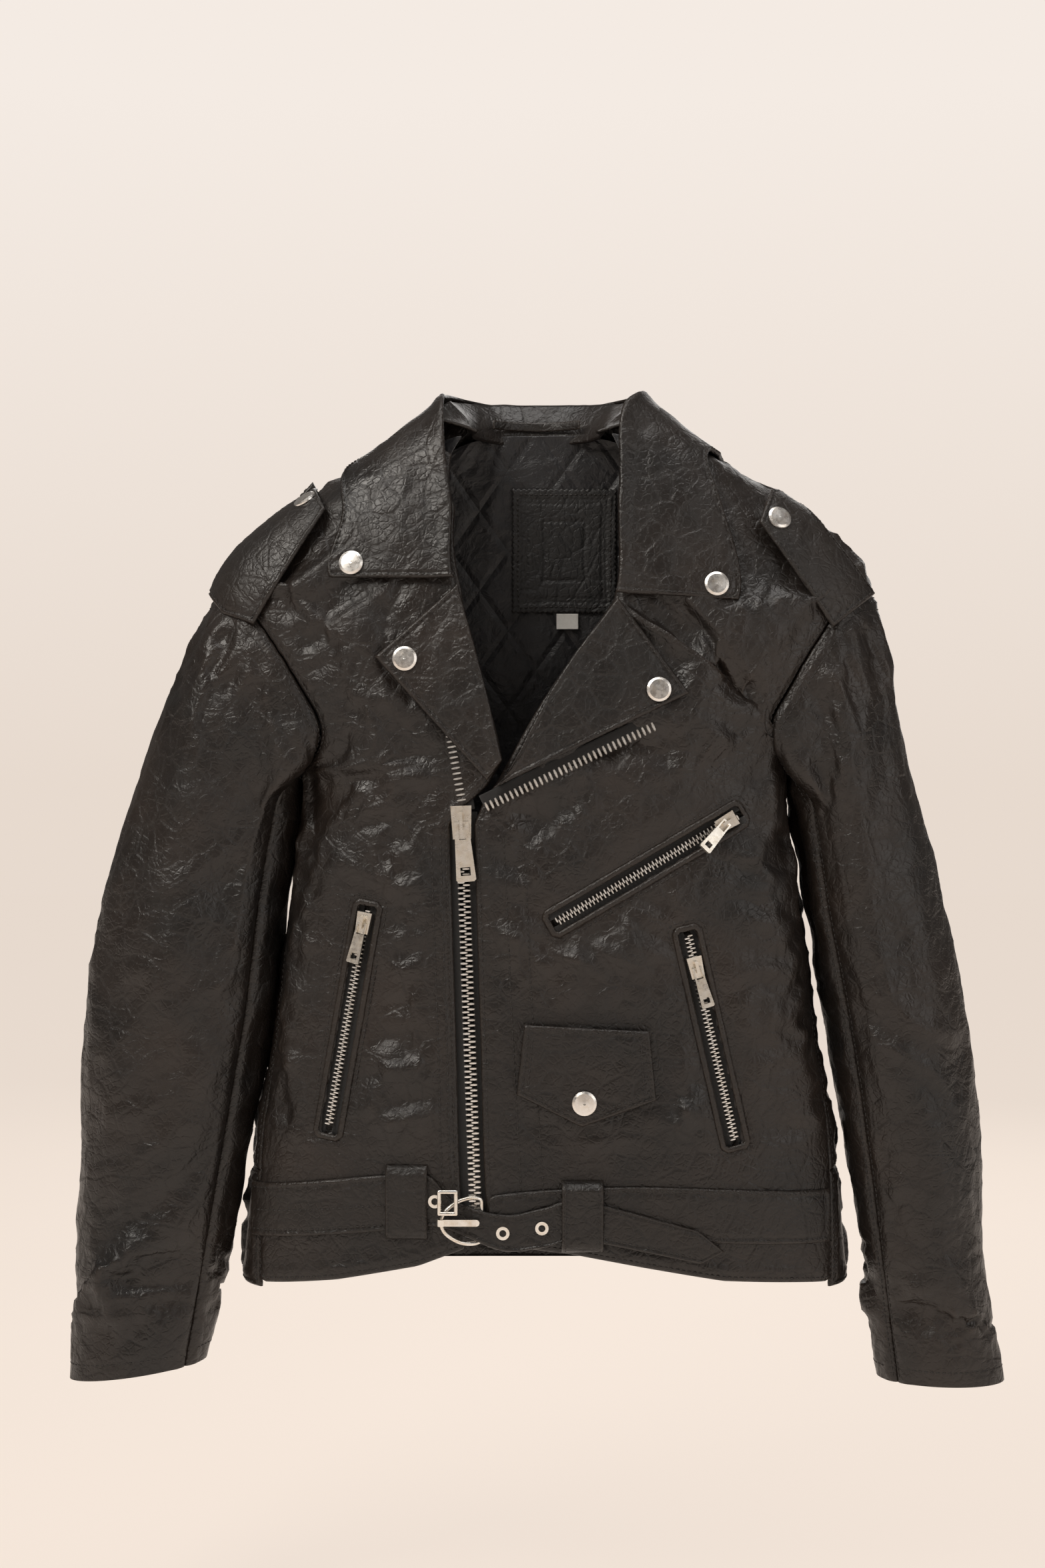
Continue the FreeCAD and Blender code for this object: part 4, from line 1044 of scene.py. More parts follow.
def sleeve_stations(side):
    """Centre, outward half axis and forward half axis of each section."""
    outer, inner = np.array(SLEEVE_OUTER[side], float), np.array(SLEEVE_INNER[side], float)
    middle, half = (outer + inner) / 2, (outer - inner) / 2
    zero = np.zeros(len(SLEEVE_Y))
    turn = np.where(np.arange(len(SLEEVE_Y)) == 0, ARMHOLE_TURN, 0.0)
    forward = np.stack((-side * turn, zero - 1, zero), -1)
    forward = forward / np.linalg.norm(forward, axis=1, keepdims=True) * SLEEVE_DEPTH[:, None]
    centre = np.stack((middle[:, 0], SLEEVE_Y, middle[:, 1]), -1)
    return centre, np.stack((half[:, 0], zero, half[:, 1]), -1), forward


class Sleeve:
    """Smooth sleeve surface that starts on the torso's armhole edge; domain is (degrees, share down)."""

    def __init__(self, side):
        self.side = side
        self.stations = sleeve_stations(side)
        rows = smooth_line(np.hstack(self.stations), 20)
        travel = np.concatenate(((0,), np.cumsum(np.linalg.norm(np.diff(rows[:, :3], axis=0), axis=1))))
        self.rows, self.length, self.travel = rows, travel[-1], travel / travel[-1]
        front = on_torso(armhole_line(side, False))
        back = on_torso(armhole_line(side, True))
        loop = np.vstack((front, back[::-1]))
        centre, outward, forward = rows[0, :3], rows[0, 3:6], rows[0, 6:]
        away = loop - centre
        ahead, aside = away @ forward / (forward @ forward), away @ outward / (outward @ outward)
        angle = np.degrees(np.arctan2(ahead, aside))
        order = np.argsort(angle)
        radians = np.radians(angle)[:, None]
        drift = loop - (centre + outward * np.cos(radians) + forward * np.sin(radians))
        self.angle, self.drift = angle[order], drift[order]
        self.shift = None

    def place(self, domain):
        angle, share = domain[..., 0], np.clip(domain[..., 1], 0, 1)
        values = np.stack([np.interp(share, self.travel, self.rows[:, k]) for k in range(9)], -1)
        turn = np.radians(angle)[..., None]
        points = values[..., :3] + values[..., 3:6] * np.cos(turn) + values[..., 6:] * np.sin(turn)
        fade = np.clip(share * self.length / 85.0, 0, 1)[..., None]
        fade = 1 - fade * fade * (3 - 2 * fade)
        drift = np.stack([np.interp(angle, self.angle, self.drift[:, k], period=360) for k in range(3)], -1)
        return points + drift * fade

    def settle(self):
        """Simulated buckles of the whole tube, kept for the panels to look up."""
        angles, shares = np.linspace(0, 360, 46, endpoint=False), np.linspace(0, 1, 74)
        domain = np.stack(np.meshgrid(angles, shares), -1)
        points = self.place(domain)
        near_end = np.minimum(shares * self.length / 14, (1 - shares) * self.length / 30)
        pins = np.clip(1.3 - near_end, 0.012, 1)[:, None] * np.ones(len(angles))
        shift = simulate(points, pins, grow=0.055, gravity=0.35, wrap=True, cap=7.0)
        shift = shift - shift.mean(axis=1, keepdims=True)
        outward = points - points.mean(axis=1, keepdims=True)
        outward = outward / np.linalg.norm(outward, axis=-1, keepdims=True)
        shift = shift - outward * (shift * outward).sum(-1).mean(axis=1)[:, None, None]
        self.shift = np.concatenate((shift, shift[:, :1]), 1)

    def shift_at(self, domain):
        return bring_up(self.shift, np.clip(domain[..., 1], 0, 1), (domain[..., 0] % 360) / 360)


def cuff_chain(side):
    """Ends of a cuff zip and its outward normal."""
    centre, outward, forward = sleeve_stations(side)
    angle = math.radians(CUFF_ZIP_ANGLE)

    def station(k):
        along = outward[k] * (1 - 2.6 / np.linalg.norm(outward[k])) * math.cos(angle)
        return centre[k] + along + forward[k] * (1 - 2.6 / np.linalg.norm(forward[k])) * math.sin(angle)

    start = station(6) + (station(5) - station(6)) * 0.35
    lower = station(7)
    end = lower + (start - lower) / np.linalg.norm(start - lower) * 4.0
    normal = outward[6] * math.cos(angle) / (outward[6] @ outward[6])
    normal = normal + forward[6] * math.sin(angle) / (forward[6] @ forward[6])
    return start, end, normal / np.linalg.norm(normal)


def segment_distance(points, start, end):
    run = end - start
    share = np.clip((points - start) @ run / (run @ run), 0, 1)
    return np.linalg.norm(points - start - share[..., None] * run, axis=-1)


def sleeve_creases(points, side, share, angle):
    """Broad folds that slant down the arm and finer creases between them."""
    elbow = np.exp(-((share - 0.48) / 0.22) ** 2)
    inner = 0.5 - 0.5 * np.cos(np.radians(angle))
    broad = 2.2 * folds(points + 11, (0.75 * side, 0.1, 1.0), 30.0, 3.0, 0.7) * (0.45 + 0.5 * elbow)
    cross = 1.7 * folds(points + 63, (-0.9 * side, 0.3, 0.8), 19.0, 3.2, 0.85)
    cross = cross * (0.25 + inner) * (0.5 + elbow)
    head = 1.4 * folds(points + 29, (0.2 * side, 0.2, 1.0), 13.0, 3.5, 0.8) * np.exp(-(share / 0.16) ** 2)
    fine = 0.5 * folds(points + 5, (1, 0, 0.5), 8.5, 2.2) + 0.24 * folds(points + 37, (0.4, 0, 1), 4.6, 1.8)
    return broad + cross + head + fine


def seat_blend(piece, side):
    """Works out the armhole plane, which is then not used, and bakes the piece's placement into its vertices.
    """
    top, armpit = ARMHOLE[side]
    forward = np.array((-side * ARMHOLE_TURN, -1, 0)) / math.hypot(ARMHOLE_TURN, 1)
    normal = np.cross(top - armpit, forward)
    normal = normal / np.linalg.norm(normal) * (1 if normal[0] * side > 0 else -1)
    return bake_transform(piece)


def sleeve_panel(sleeve, name, first, last, node):
    side = sleeve.side
    angles = np.linspace(first, last, 50)
    top = np.stack((angles, 0 * angles), -1)
    bottom = np.stack((angles, 0 * angles + 1), -1)
    shares = np.linspace(1, 0, 90)
    left = np.stack((0 * shares + first, shares), -1)
    right = np.stack((0 * shares + last, shares), -1)
    sides = (bottom, right, top, left)
    probe = sleeve.place(coons(*sides, np.linspace(0, 1, 5), np.linspace(0, 1, 5)))
    middle = probe.mean(axis=(0, 1))
    axis = sleeve.rows[:, :3].mean(axis=0)
    if (grid_normals(probe)[2, 2] @ (middle - axis)) < 0:
        sides = (bottom[::-1], left, top[::-1], right)
    domain, points, normals = sheet_grid(sides, sleeve.place, 2.7)
    distance = border_distance(points)
    seam = border_distance(points, "lrt")
    cuff = border_distance(points, "b")
    free = np.clip(distance / 14, 0, 1)
    start, end, _ = cuff_chain(side)
    near_zip = segment_distance(points, start, end + (end - start) * 0.2)
    calm = np.clip((near_zip - 7) / 14, 0, 1)
    height = sleeve_creases(points, side, domain[..., 1], domain[..., 0]) * free * calm
    height = height - 1.5 * (1 - rounded_edge(seam, 3.0)) + 0.5 * np.exp(-((seam - 6.0) / 3.0) ** 2)
    height = height - 0.4 * stitch_groove(cuff, 10.0) - 0.35 * stitch_groove(border_distance(points, "t"))
    height = height - 0.35 * stitch_groove(border_distance(points, "t"), 10.0)
    height = height + 1.6 * pucker(points, seam, 5.0) * np.clip(distance / 3.0, 0, 1) * calm
    height = height - 5.4 * np.clip((6.0 - near_zip) / 1.2, 0, 1)
    cuff_calm = np.clip(cuff / 40, 0.1, 1)
    shift = sleeve.shift_at(domain) * (free * calm * cuff_calm)[..., None]
    upper = points + shift + normals * height[..., None]
    lower = points + shift - normals * (2.0 - np.minimum(height, 0) * 0.9)[..., None]
    mesh_points, faces = two_sided(upper, lower)
    piece = make_mesh(name, mesh_points, faces, LEATHER)
    seat_blend(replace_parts(piece, node), side)
    top_normals = grid_normals(upper)
    strands = Strands()
    rows = [(STITCH_INSET, "t"), (10.0, "t"), (10.0, "b")]
    for inset, where in rows:
        for line, line_normals in border_lines(upper, top_normals, inset, where):
            strands.run(line, line_normals)
    for line, line_normals in border_lines(upper, top_normals, STITCH_INSET, "l" if first < 0 else "r"):
        strands.run(line, line_normals)
    seat_blend(strands.make(name + "_stitches", None), side)


def sleeve_inside(sleeve):
    """Satin tube inside the sleeve, turned out to the leather just above the cuff."""
    side = sleeve.side
    shares = np.linspace(0.0, 0.972, 90)
    angles = np.linspace(0, 360, 72, endpoint=False) * (-side)
    domain = np.stack(np.meshgrid(angles, shares), -1)
    points = sleeve.place(domain)
    normals = np.cross(np.roll(points, -1, 1) - np.roll(points, 1, 1), np.gradient(points, axis=0))
    normals = normals / np.linalg.norm(normals, axis=-1, keepdims=True)
    centre = points.mean(axis=1, keepdims=True)
    normals = normals * np.sign(((points - centre) * normals).sum(-1, keepdims=True))
    depth = 4.6 + 0.9 * folds(points, (0.2, 0, 1), 12.0, 2.5)
    depth = depth - 2.4 * np.clip((shares[:, None] - 0.95) / 0.022, 0, 1)
    start, end, _ = cuff_chain(side)
    depth = depth + 4.5 * np.clip((10.0 - segment_distance(points, start, end)) / 3.0, 0, 1)
    outer = points - normals * depth[..., None]
    inner = outer - normals * 0.9
    rows, columns = outer.shape[:2]
    faces = grid_faces(rows, columns, wrap=True)
    faces += grid_faces(rows, columns, rows * columns, wrap=True, flip=True)
    for row in (0, rows - 1):
        for j in range(columns):
            a, b = row * columns + j, row * columns + (j + 1) % columns
            quad = (a, b, b + rows * columns, a + rows * columns)
            faces.append(quad if row else quad[::-1])
    name = "sleeve_lining_" + SIDE_NAMES[side]
    both = np.concatenate((outer.reshape(-1, 3), inner.reshape(-1, 3)))
    piece = make_mesh(name + "_satin", both, faces, SATIN)
    seat_blend(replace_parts(piece, name), side)


def build_sleeves():
    for side, name in SIDE_NAMES.items():
        sleeve = Sleeve(side)
        sleeve.settle()
        low, middle, high = SLEEVE_SEAMS
        sleeve_panel(sleeve, "top_sleeve_%s_leather" % name, low, middle, "top_sleeve_" + name)
        sleeve_panel(sleeve, "under_sleeve_%s_leather" % name, middle, high, "under_sleeve_" + name)
        sleeve_inside(sleeve)


# ---- collar, lapels and flaps ----------------------------------------------------------------------------
COLLAR_LOW = -47.0
BACK_JOIN = 2.012
COLLAR_EDGES = {
    -1: dict(fold=((-50, -105), (-52.5, -50), (-54, 2)),
             edge=((-124, -104), (-127, -98), (-118, -60), (-107, -24))),
    1: dict(fold=((47, -114), (49, -50), (51, 2)),
            edge=((120, -117), (122.5, -112), (112, -60), (104, -26))),
}


def collar_domain(points, behind):
    """Front points (x, z) followed by points behind the shoulder (arc coordinate, z)."""
    return np.vstack((front_line(points), np.array(behind, float)))


def collar_half(side):
    edges = COLLAR_EDGES[side]
    fold_behind = ((side * 1.0, 11), (side * 1.35, 15), (side * 1.7, 17), (side * BACK_JOIN, 17))
    fold = collar_domain(edges["fold"], fold_behind)
    edge_behind = ((side * 1.18, -31), (side * 1.5, -40), (side * BACK_JOIN, COLLAR_LOW))
    low = collar_domain(edges["edge"], edge_behind)
    front = np.vstack((low[:1], fold[:1]))
    back = np.vstack((low[-1:], fold[-1:]))
    sides = outward_sides((smooth_line(low, 10), back, smooth_line(fold, 10), front), on_torso)

    def lift(domain, points):
        from_fold = border_distance(points, "t")
        return 3.2 * np.exp(-(from_fold / 9.0) ** 2) + 1.3 * np.sin(np.clip(from_fold / 50, 0, 1) * math.pi)

    name = SIDE_NAMES[side]
    data = flap_sheet("collar_%s_leather" % name, sides, 3.0, 2.4, LEATHER, None, lift,
                      groove="blr", bump=0.55, place=on_torso)
    piece = data[0]
    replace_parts(piece, "collar_leaf_" + name, "collar_fall")
    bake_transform(piece)
    stitches = stitched("collar_%s_stitches" % name, data, None, sides="blr")
    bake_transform(stitches)


STAND_THICK = 1.8


def build_stand():
    """Band from the neck seam up to the fold, all round the back of the neck."""
    count = 120
    sigma = np.linspace(0.72, 3.28, count)
    size = np.abs((sigma + 2) % 4 - 2)
    fold_z = np.interp(size, (0.7, 1.0, 1.35, 1.7, 2.0), (-4, 11, 15, 17, 17))
    top = torso(sigma, fold_z)
    away = top - np.array((0, SIDE_Y, 0))
    away[:, 2] = 0
    away = away / np.linalg.norm(away, axis=1, keepdims=True)
    top = top + away * 4.0 + np.array((0, 0, 1.2))
    angle = np.radians(180 * (sigma - 1) / 2)
    low = np.stack((40.5 * np.cos(angle), SIDE_Y + 39.5 * np.sin(angle), np.full(count, -9.0)), -1)
    share = np.linspace(0, 1, 18)[:, None, None]
    grid = low[None] * (1 - share) + top[None] * share
    grid = grid - away[None] * (3.0 * np.sin(share * math.pi))
    normals = grid_normals(grid)
    grid = grid + normals * (0.35 * folds(grid, (0, 0, 1), 11.0, 2.0))[..., None]
    inward = np.sign((normals * -away[None]).sum())
    if inward > 0:
        mesh_points, faces = two_sided(grid, grid - normals * STAND_THICK)
    else:
        mesh_points, faces = two_sided(grid[:, ::-1], (grid - normals * STAND_THICK)[:, ::-1])
    piece = make_mesh("collar_stand_leather", mesh_points, faces, LEATHER, "root")
    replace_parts(piece, "collar_stand")


LAPELS = {
    -1: ((-97, -152), (-30, -226), (-21, -214), (-48, -109)),
    1: ((90.5, -174), (-27, -231), (-19, -224), (48, -117)),
}


def build_lapel(side):
    tip, low, low_fold, high_fold = LAPELS[side]
    name = "lapel_" + SIDE_NAMES[side]
    fold = smooth_line((high_fold, ((high_fold[0] + low_fold[0]) / 2 - side * 2.0, -165), low_fold), 12)
    sides = outward_sides(((tip, low), (low, low_fold), fold, (tip, high_fold)), on_front)

    def lift(domain, points):
        from_fold = border_distance(points, "t")
        return 1.8 * np.exp(-(from_fold / 8.0) ** 2) + 0.8 * np.sin(np.clip(from_fold / 45, 0, 1) * math.pi)

    data = flap_sheet(name + "_leather", sides, 6.0, 2.0, LEATHER, name, lift, bump=0.6)
    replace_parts(data[0], name)
    edges = "bl" if np.allclose(sides[3][0], tip) else "br"
    stitched(name + "_stitches", data, name, sides=edges)


EPAULETTES = {
    -1: dict(low=((-171, -131), (-190, -124), (-203, -108)), high=((-128, -62), (-141, -38))),
    1: dict(low=((178, -133), (205, -112)), high=((134, -70), (142, -49), (155, -49))),
}


def build_epaulette(side):
    name = "epaulette_" + SIDE_NAMES[side]
    low, high = (np.array(EPAULETTES[side][key], float) for key in ("low", "high"))
    sides = outward_sides((low, (low[-1], high[-1]), high, (low[0], high[0])), on_front)

    def lift(domain, points):
        return 1.2 * np.sin(np.clip(border_distance(points, "b") / 90, 0, 1) * math.pi)

    data = flap_sheet(name + "_leather", sides, 3.0, 2.2, STRAP_LEATHER, name, lift, bump=0.4)
    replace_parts(data[0], name)
    stitched(name + "_stitches", data, name, sides="blrt")


def build_coin_pocket():
    pouch = (((-6, -409), (26, -426), (63, -412)), ((63, -412), (60, -380)),
             ((-2, -376), (60, -380)), ((-6, -409), (-2, -376)))
    sides = outward_sides(pouch, on_front)
    data = flap_sheet("coin_pouch_leather", sides, 0.4, 3.0, LEATHER, "root", bump=0.3)
    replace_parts(data[0], "coin_pocket_pouch")
    flap = (((-12.5, -414), (26.5, -433.5), (71, -417.5)), ((71, -417.5), (67, -376)),
            ((-8, -372), (67, -376)), ((-12.5, -414), (-8, -372)))
    sides = outward_sides(flap, on_front)
    data = flap_sheet("coin_flap_leather", sides, 3.9, 1.8, LEATHER, "coin_flap", bump=0.4)
    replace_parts(data[0], "coin_pocket_flap")
    upper, normals = data[2], data[3]
    second = border_lines(upper, normals, 7.0, "blr")
    stitched("coin_flap_stitches", data, "coin_flap", sides="blrt", extra=second)


# ---- belt ------------------------------------------------------------------------------------------------
BELT_LOOPS = (("right", -91, -66, -457, -502, 3.9), ("left", 14.5, 39.5, -466, -509.5, 6.5))


def build_belt():
    low = ((-174, -505), (-92, -497), (-64, -494), (-42, -500), (-20, -508), (3, -506), (28, -502),
           (98, -516))
    high = ((-174, -473), (-92, -463), (-66, -463), (-50, -478), (-20, -486), (3, -482), (28, -478),
            (96, -496))
    tip = ((98, -516), (112, -509), (96, -496))

    def step_up(domain, points):
        rise = np.clip((domain[..., 0] + 47) / 12, 0, 1)
        wave = 0.9 * np.sin(domain[..., 0] / 17.0) * np.clip((domain[..., 0] - 40) / 30, 0, 1)
        return 2.8 * rise * rise * (3 - 2 * rise) + np.maximum(wave, 0)

    sides = (smooth_line(low, 8), tip, smooth_line(high, 8), (low[0], high[0]))
    data = flap_sheet("belt_strap_leather", sides, 0.6, 2.0, STRAP_LEATHER, "root", step_up, bump=0.3)
    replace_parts(data[0], "belt_strap")
    middle = [(data[2][data[2].shape[0] // 2, 4:-40], data[3][data[3].shape[0] // 2, 4:-40])]
    stitched("belt_strap_stitches", data, "root", sides="bt", extra=middle)
    low = ((-29, -498), (-20, -503), (60, -503), (178, -508))
    high = ((-29, -480), (-20, -474), (60, -470), (178, -476))
    sides = (smooth_line(low, 8), (low[-1], high[-1]), smooth_line(high, 8), (low[0], high[0]))
    data = flap_sheet("belt_buckle_leather", sides, 0.6, 2.0, STRAP_LEATHER, "root", bump=0.3)
    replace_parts(data[0], "belt_buckle_strap")
    stitched("belt_buckle_stitches", data, "root", sides="bt")
    loops = []
    for label, left, right, top, bottom, height in BELT_LOOPS:
        sides = (((left, bottom), (right, bottom)), ((right, bottom), (right, top)),
                 ((left, top), (right, top)), ((left, bottom), (left, top)))

        def arch(domain, points, height=height):
            rise = np.clip(border_distance(points, "bt") / 5.5, 0, 1)
            return (height - 0.4) * np.sin(rise * math.pi / 2)

        name = "belt_loop_%s_leather" % label
        data = flap_sheet(name, sides, 0.4, 1.3, STRAP_LEATHER, "root", arch, bump=0.25)
        stitched("belt_loop_%s_stitches" % label, data, "root", inset=2.2, sides="lr")
        loops.append(data[0])
    for loop in loops:
        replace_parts(loop, "belt_loops")


# ---- zips ------------------------------------------------------------------------------------------------
def chain_axes(start, end, normal):
    """Unit vectors along, across and out of a chain."""
    run = (end - start) / np.linalg.norm(end - start)
    out = normal - run * (normal @ run)
    out = out / np.linalg.norm(out)
    return run, np.cross(out, run), out


TOOTH_REACH = 0.75


def tooth(centre, axes, length, width, height):
    """One rounded metal tooth whose foot clamps the tape and whose head has a small rise."""
    run, across, out = axes
    points, faces = [], []
    outline = ((-0.5, -0.32), (-0.5, 0.32), (-0.1, 0.5), (0.35, 0.42),
               (0.5, 0.2), (0.5, -0.2), (0.35, -0.42), (-0.1, -0.5))
    for rise, size in ((-1.0, 0.8), (-0.7, 1.0), (0.65, 1.0), (1.0, 0.74)):
        for a, b in outline:
            offset = across * (a * length * (0.5 + size / 2)) + run * (b * width * size)
            offset = offset + out * (rise * height)
            points.append(centre + offset)
    count = len(outline)
    for ring in range(3):
        for k in range(count):
            a, b = ring * count + k, ring * count + (k + 1) % count
            faces.append((a, b, b + count, a + count))
    faces.append(tuple(range(count - 1, -1, -1)))
    faces.append(tuple(range(3 * count, 4 * count)))
    return np.array(points), faces


def chain_teeth(start, end, normal, half, height, pitch, rows=(-1, 1), skip=0.0):
    """Interlocked teeth of a straight chain; each row's teeth reach just past the middle."""
    run, across, out = chain_axes(start, end, normal)
    total = np.linalg.norm(end - start)
    parts = []
    for row in rows:
        phase = 0.25 if row > 0 else 0.75
        for k in range(int(skip / pitch), int(total / pitch)):
            inner = -TOOTH_REACH * row
            middle = start + run * (pitch * (k + phase)) + across * (half * row + inner) / 2
            turned = (run, -across * row, out)
            parts.append(tooth(middle, turned, half - inner * row, pitch * 0.44, height))
    return join_parts(parts)


def tape_strip(start, end, normal, near, far, depth):
    """Woven tape beside a chain with a slightly raised cord next to the teeth."""
    run, across, out = chain_axes(start, end, normal)
    total = np.linalg.norm(end - start)
    shares = np.linspace(-4.0, total + 4.0, int(total / 3) + 2)
    widths = np.linspace(near, far, 9)
    cord = 0.45 * np.exp(-((np.abs(widths) - abs(near)) / 1.2) ** 2)
    grid = start + run * shares[:, None, None] + across * widths[None, :, None]
    grid = grid + out * (cord - depth)[None, :, None]
    grid = grid + out * (0.15 * noise(grid, 3.0))[..., None]
    lower = grid - out * 0.5
    return two_sided(grid, lower) if far > near else two_sided(grid[:, ::-1], lower[:, ::-1])


POCKET_CHAIN = dict(half=2.75, height=1.5, pitch=2.6)
MAIN_CHAIN = dict(half=3.9, height=2.2, pitch=3.25)
OPEN_ROW = dict(half=4.9, height=2.2, pitch=3.25)
RIGHT_ROW_TOP = np.array((-58.5, -178.0))
LEFT_ROW_OUTER = np.array((71.0, -193.0))


def ring_path(start, end, half, extend, corner=2.5):
    """Closed rounded rectangle round a strip between two (x, z) points."""
    run = (end - start) / np.linalg.norm(end - start)
    side = np.array((-run[1], run[0]))
    low, high = start - run * extend, end + run * extend
    points = []
    for base, sign_run, turn in ((high, 1, (1, -1)), (low, -1, (-1, 1))):
        for sign in turn:
            corner_point = base + side * (sign * half)
            before = corner_point - side * (sign * corner)
            after = corner_point - run * (sign_run * corner)
            pair = (after, before) if sign == turn[0] else (before, after)
            points.extend(pair)
    line = []
    for a, b in zip(points, points[1:] + points[:1]):
        steps = max(2, int(np.linalg.norm(b - a) / 2.5))
        line.extend(a + (b - a) * k / steps for k in range(steps))
    return np.array(line)


def on_dipped(flat, rise):
    """Points above the dipped front leather at (x, z), and the outward normals there."""
    points = front_skin(flat[:, 0], flat[:, 1])
    normals = skin_normals(flat)
    return points + normals * (rise - zip_dip(points))[:, None], normals


def skin_normals(flat):
    right = front_skin(flat[:, 0] + 2, flat[:, 1]) - front_skin(flat[:, 0] - 2, flat[:, 1])
    upward = front_skin(flat[:, 0], flat[:, 1] + 2) - front_skin(flat[:, 0], flat[:, 1] - 2)
    normals = np.cross(right, upward)
    return normals / np.linalg.norm(normals, axis=1, keepdims=True)


def build_pocket_zips():
    teeth, tapes, frames = [], [], []
    strands = Strands()
    for ends in ZIPS.values():
        first, last = zip_chord(ends)
        normal = skin_normals(((ends[0] + ends[1]) / 2)[None])[0]
        teeth.append(chain_teeth(first, last, normal, **POCKET_CHAIN))
        for near, far in ((2.2, 7.6), (-2.2, -7.6)):
            tapes.append(tape_strip(first, last, normal, near, far, 0.8))
        path = ring_path(*ends, 7.6, 4.4)
        line, normals = on_dipped(path, 0.2)
        uneven = 1.9 * (1 + 0.10 * noise(line, 9.0))
        frames.append(tube(line, uneven, normals, closed=True, squash=0.72))
        stitch_line, stitch_normals = on_dipped(ring_path(*ends, 11.6, 8.4, 3.5), 0.15)
        closed_line = np.vstack((stitch_line, stitch_line[:1]))
        strands.run(closed_line, np.vstack((stitch_normals, stitch_normals[:1])))
    piece = make_mesh("pocket_teeth", *join_parts(teeth), TEETH_METAL, "root", smooth=False)
    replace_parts(piece, "pocket_zip_teeth")
    piece = make_mesh("pocket_welts", *join_parts(frames), STRAP_LEATHER, "root")
    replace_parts(piece, "pocket_frames")
    strands.make("pocket_stitches", "root")
    return tapes


def build_main_zip():
    """Closed chain below the slider, the open right row above it and the tapes.

    The open left row rides on the lapel."""
    start, end = MAIN_TOP, MAIN_BOTTOM
    push = np.array((0, 2.6, 0))
    first, last = front_skin(*start) + push, front_skin(*end) + push
    normal = skin_normals(((start + end) / 2)[None])[0]
    teeth = [chain_teeth(first, last, normal, skip=6.0, **MAIN_CHAIN)]
    axes = chain_axes(first, last, normal)
    teeth.append(tooth(last + axes[0] * 6.0, axes, 10.0, 6.0, 2.4))
    tapes = [tape_strip(first, last, normal, 3.0, 9.5, 1.0), tape_strip(first, last, normal, -3.0, -9.5, 1.0)]
    low = start + (RIGHT_ROW_TOP - start) * 0.12
    first, last = front_skin(*low) + push * 0.4, front_skin(*RIGHT_ROW_TOP) + push * 0.4
    teeth.append(chain_teeth(first, last, normal, rows=(-1,), **OPEN_ROW))
    tapes.append(tape_strip(first, last, normal, -3.0, -9.0, 0.6))
    piece = make_mesh("main_zip_teeth_set", *join_parts(teeth), TEETH_METAL, "root", smooth=False)
    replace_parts(piece, "main_zip_teeth")
    return tapes


def build_lapel_zip():
    """The left half of the main zip above the slider, along the left lapel's lower edge."""
    low = MAIN_TOP + (LEFT_ROW_OUTER - MAIN_TOP) * 0.12
    count = 46
    flat = low + np.linspace(0, 1, count)[:, None] * (LEFT_ROW_OUTER - low)
    normals = skin_normals(flat)
    line = front_skin(flat[:, 0], flat[:, 1]) + normals * 3.9
    total = length_of(line)
    travel = np.concatenate(((0,), np.cumsum(np.linalg.norm(np.diff(line, axis=0), axis=1))))
    parts = []
    for k in range(int(total / MAIN_CHAIN["pitch"])):
        at = (k + 0.5) * MAIN_CHAIN["pitch"]
        centre = np.array([np.interp(at, travel, line[:, c]) for c in range(3)])
        index = int(np.clip(np.searchsorted(travel, at), 1, count - 1))
        run, across, out = chain_axes(line[index - 1], line[index], normals[index])
        down = across if across[2] < 0 else -across
        parts.append(tooth(centre, (run, down, out), 5.7, MAIN_CHAIN["pitch"] * 0.56, 1.6))
    piece = make_mesh("lapel_teeth", *join_parts(parts), TEETH_METAL, "lapel_left", smooth=False)
    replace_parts(piece, "lapel_zip_row")
    _, across, _ = chain_axes(line[0], line[-1], normals[count // 2])
    up = across if across[2] > 0 else -across
    grid = line[:, None] + up * np.linspace(0.5, 8.0, 7)[None, :, None]
    grid = grid + normals[:, None] * (0.2 * noise(grid, 4.0))[..., None]
    make_mesh("lapel_tape", *two_sided(grid, grid - normals[:, None] * 0.6), TAPE_CLOTH, "lapel_left")


def build_cuff_zips():
    for side, name in SIDE_NAMES.items():
        start, end, normal = cuff_chain(side)
        body = "sleeve_" + name
        teeth = chain_teeth(start, end, normal, **POCKET_CHAIN)
        piece = make_mesh("cuff_teeth_" + name, *teeth, TEETH_METAL, body, smooth=False)
        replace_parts(piece, "cuff_zip_" + name)
        strips = [tape_strip(start, end, normal, near, far, 0.8) for near, far in ((2.2, 6.5), (-2.2, -6.5))]
        make_mesh("cuff_tape_" + name, *join_parts(strips), TAPE_CLOTH, body)


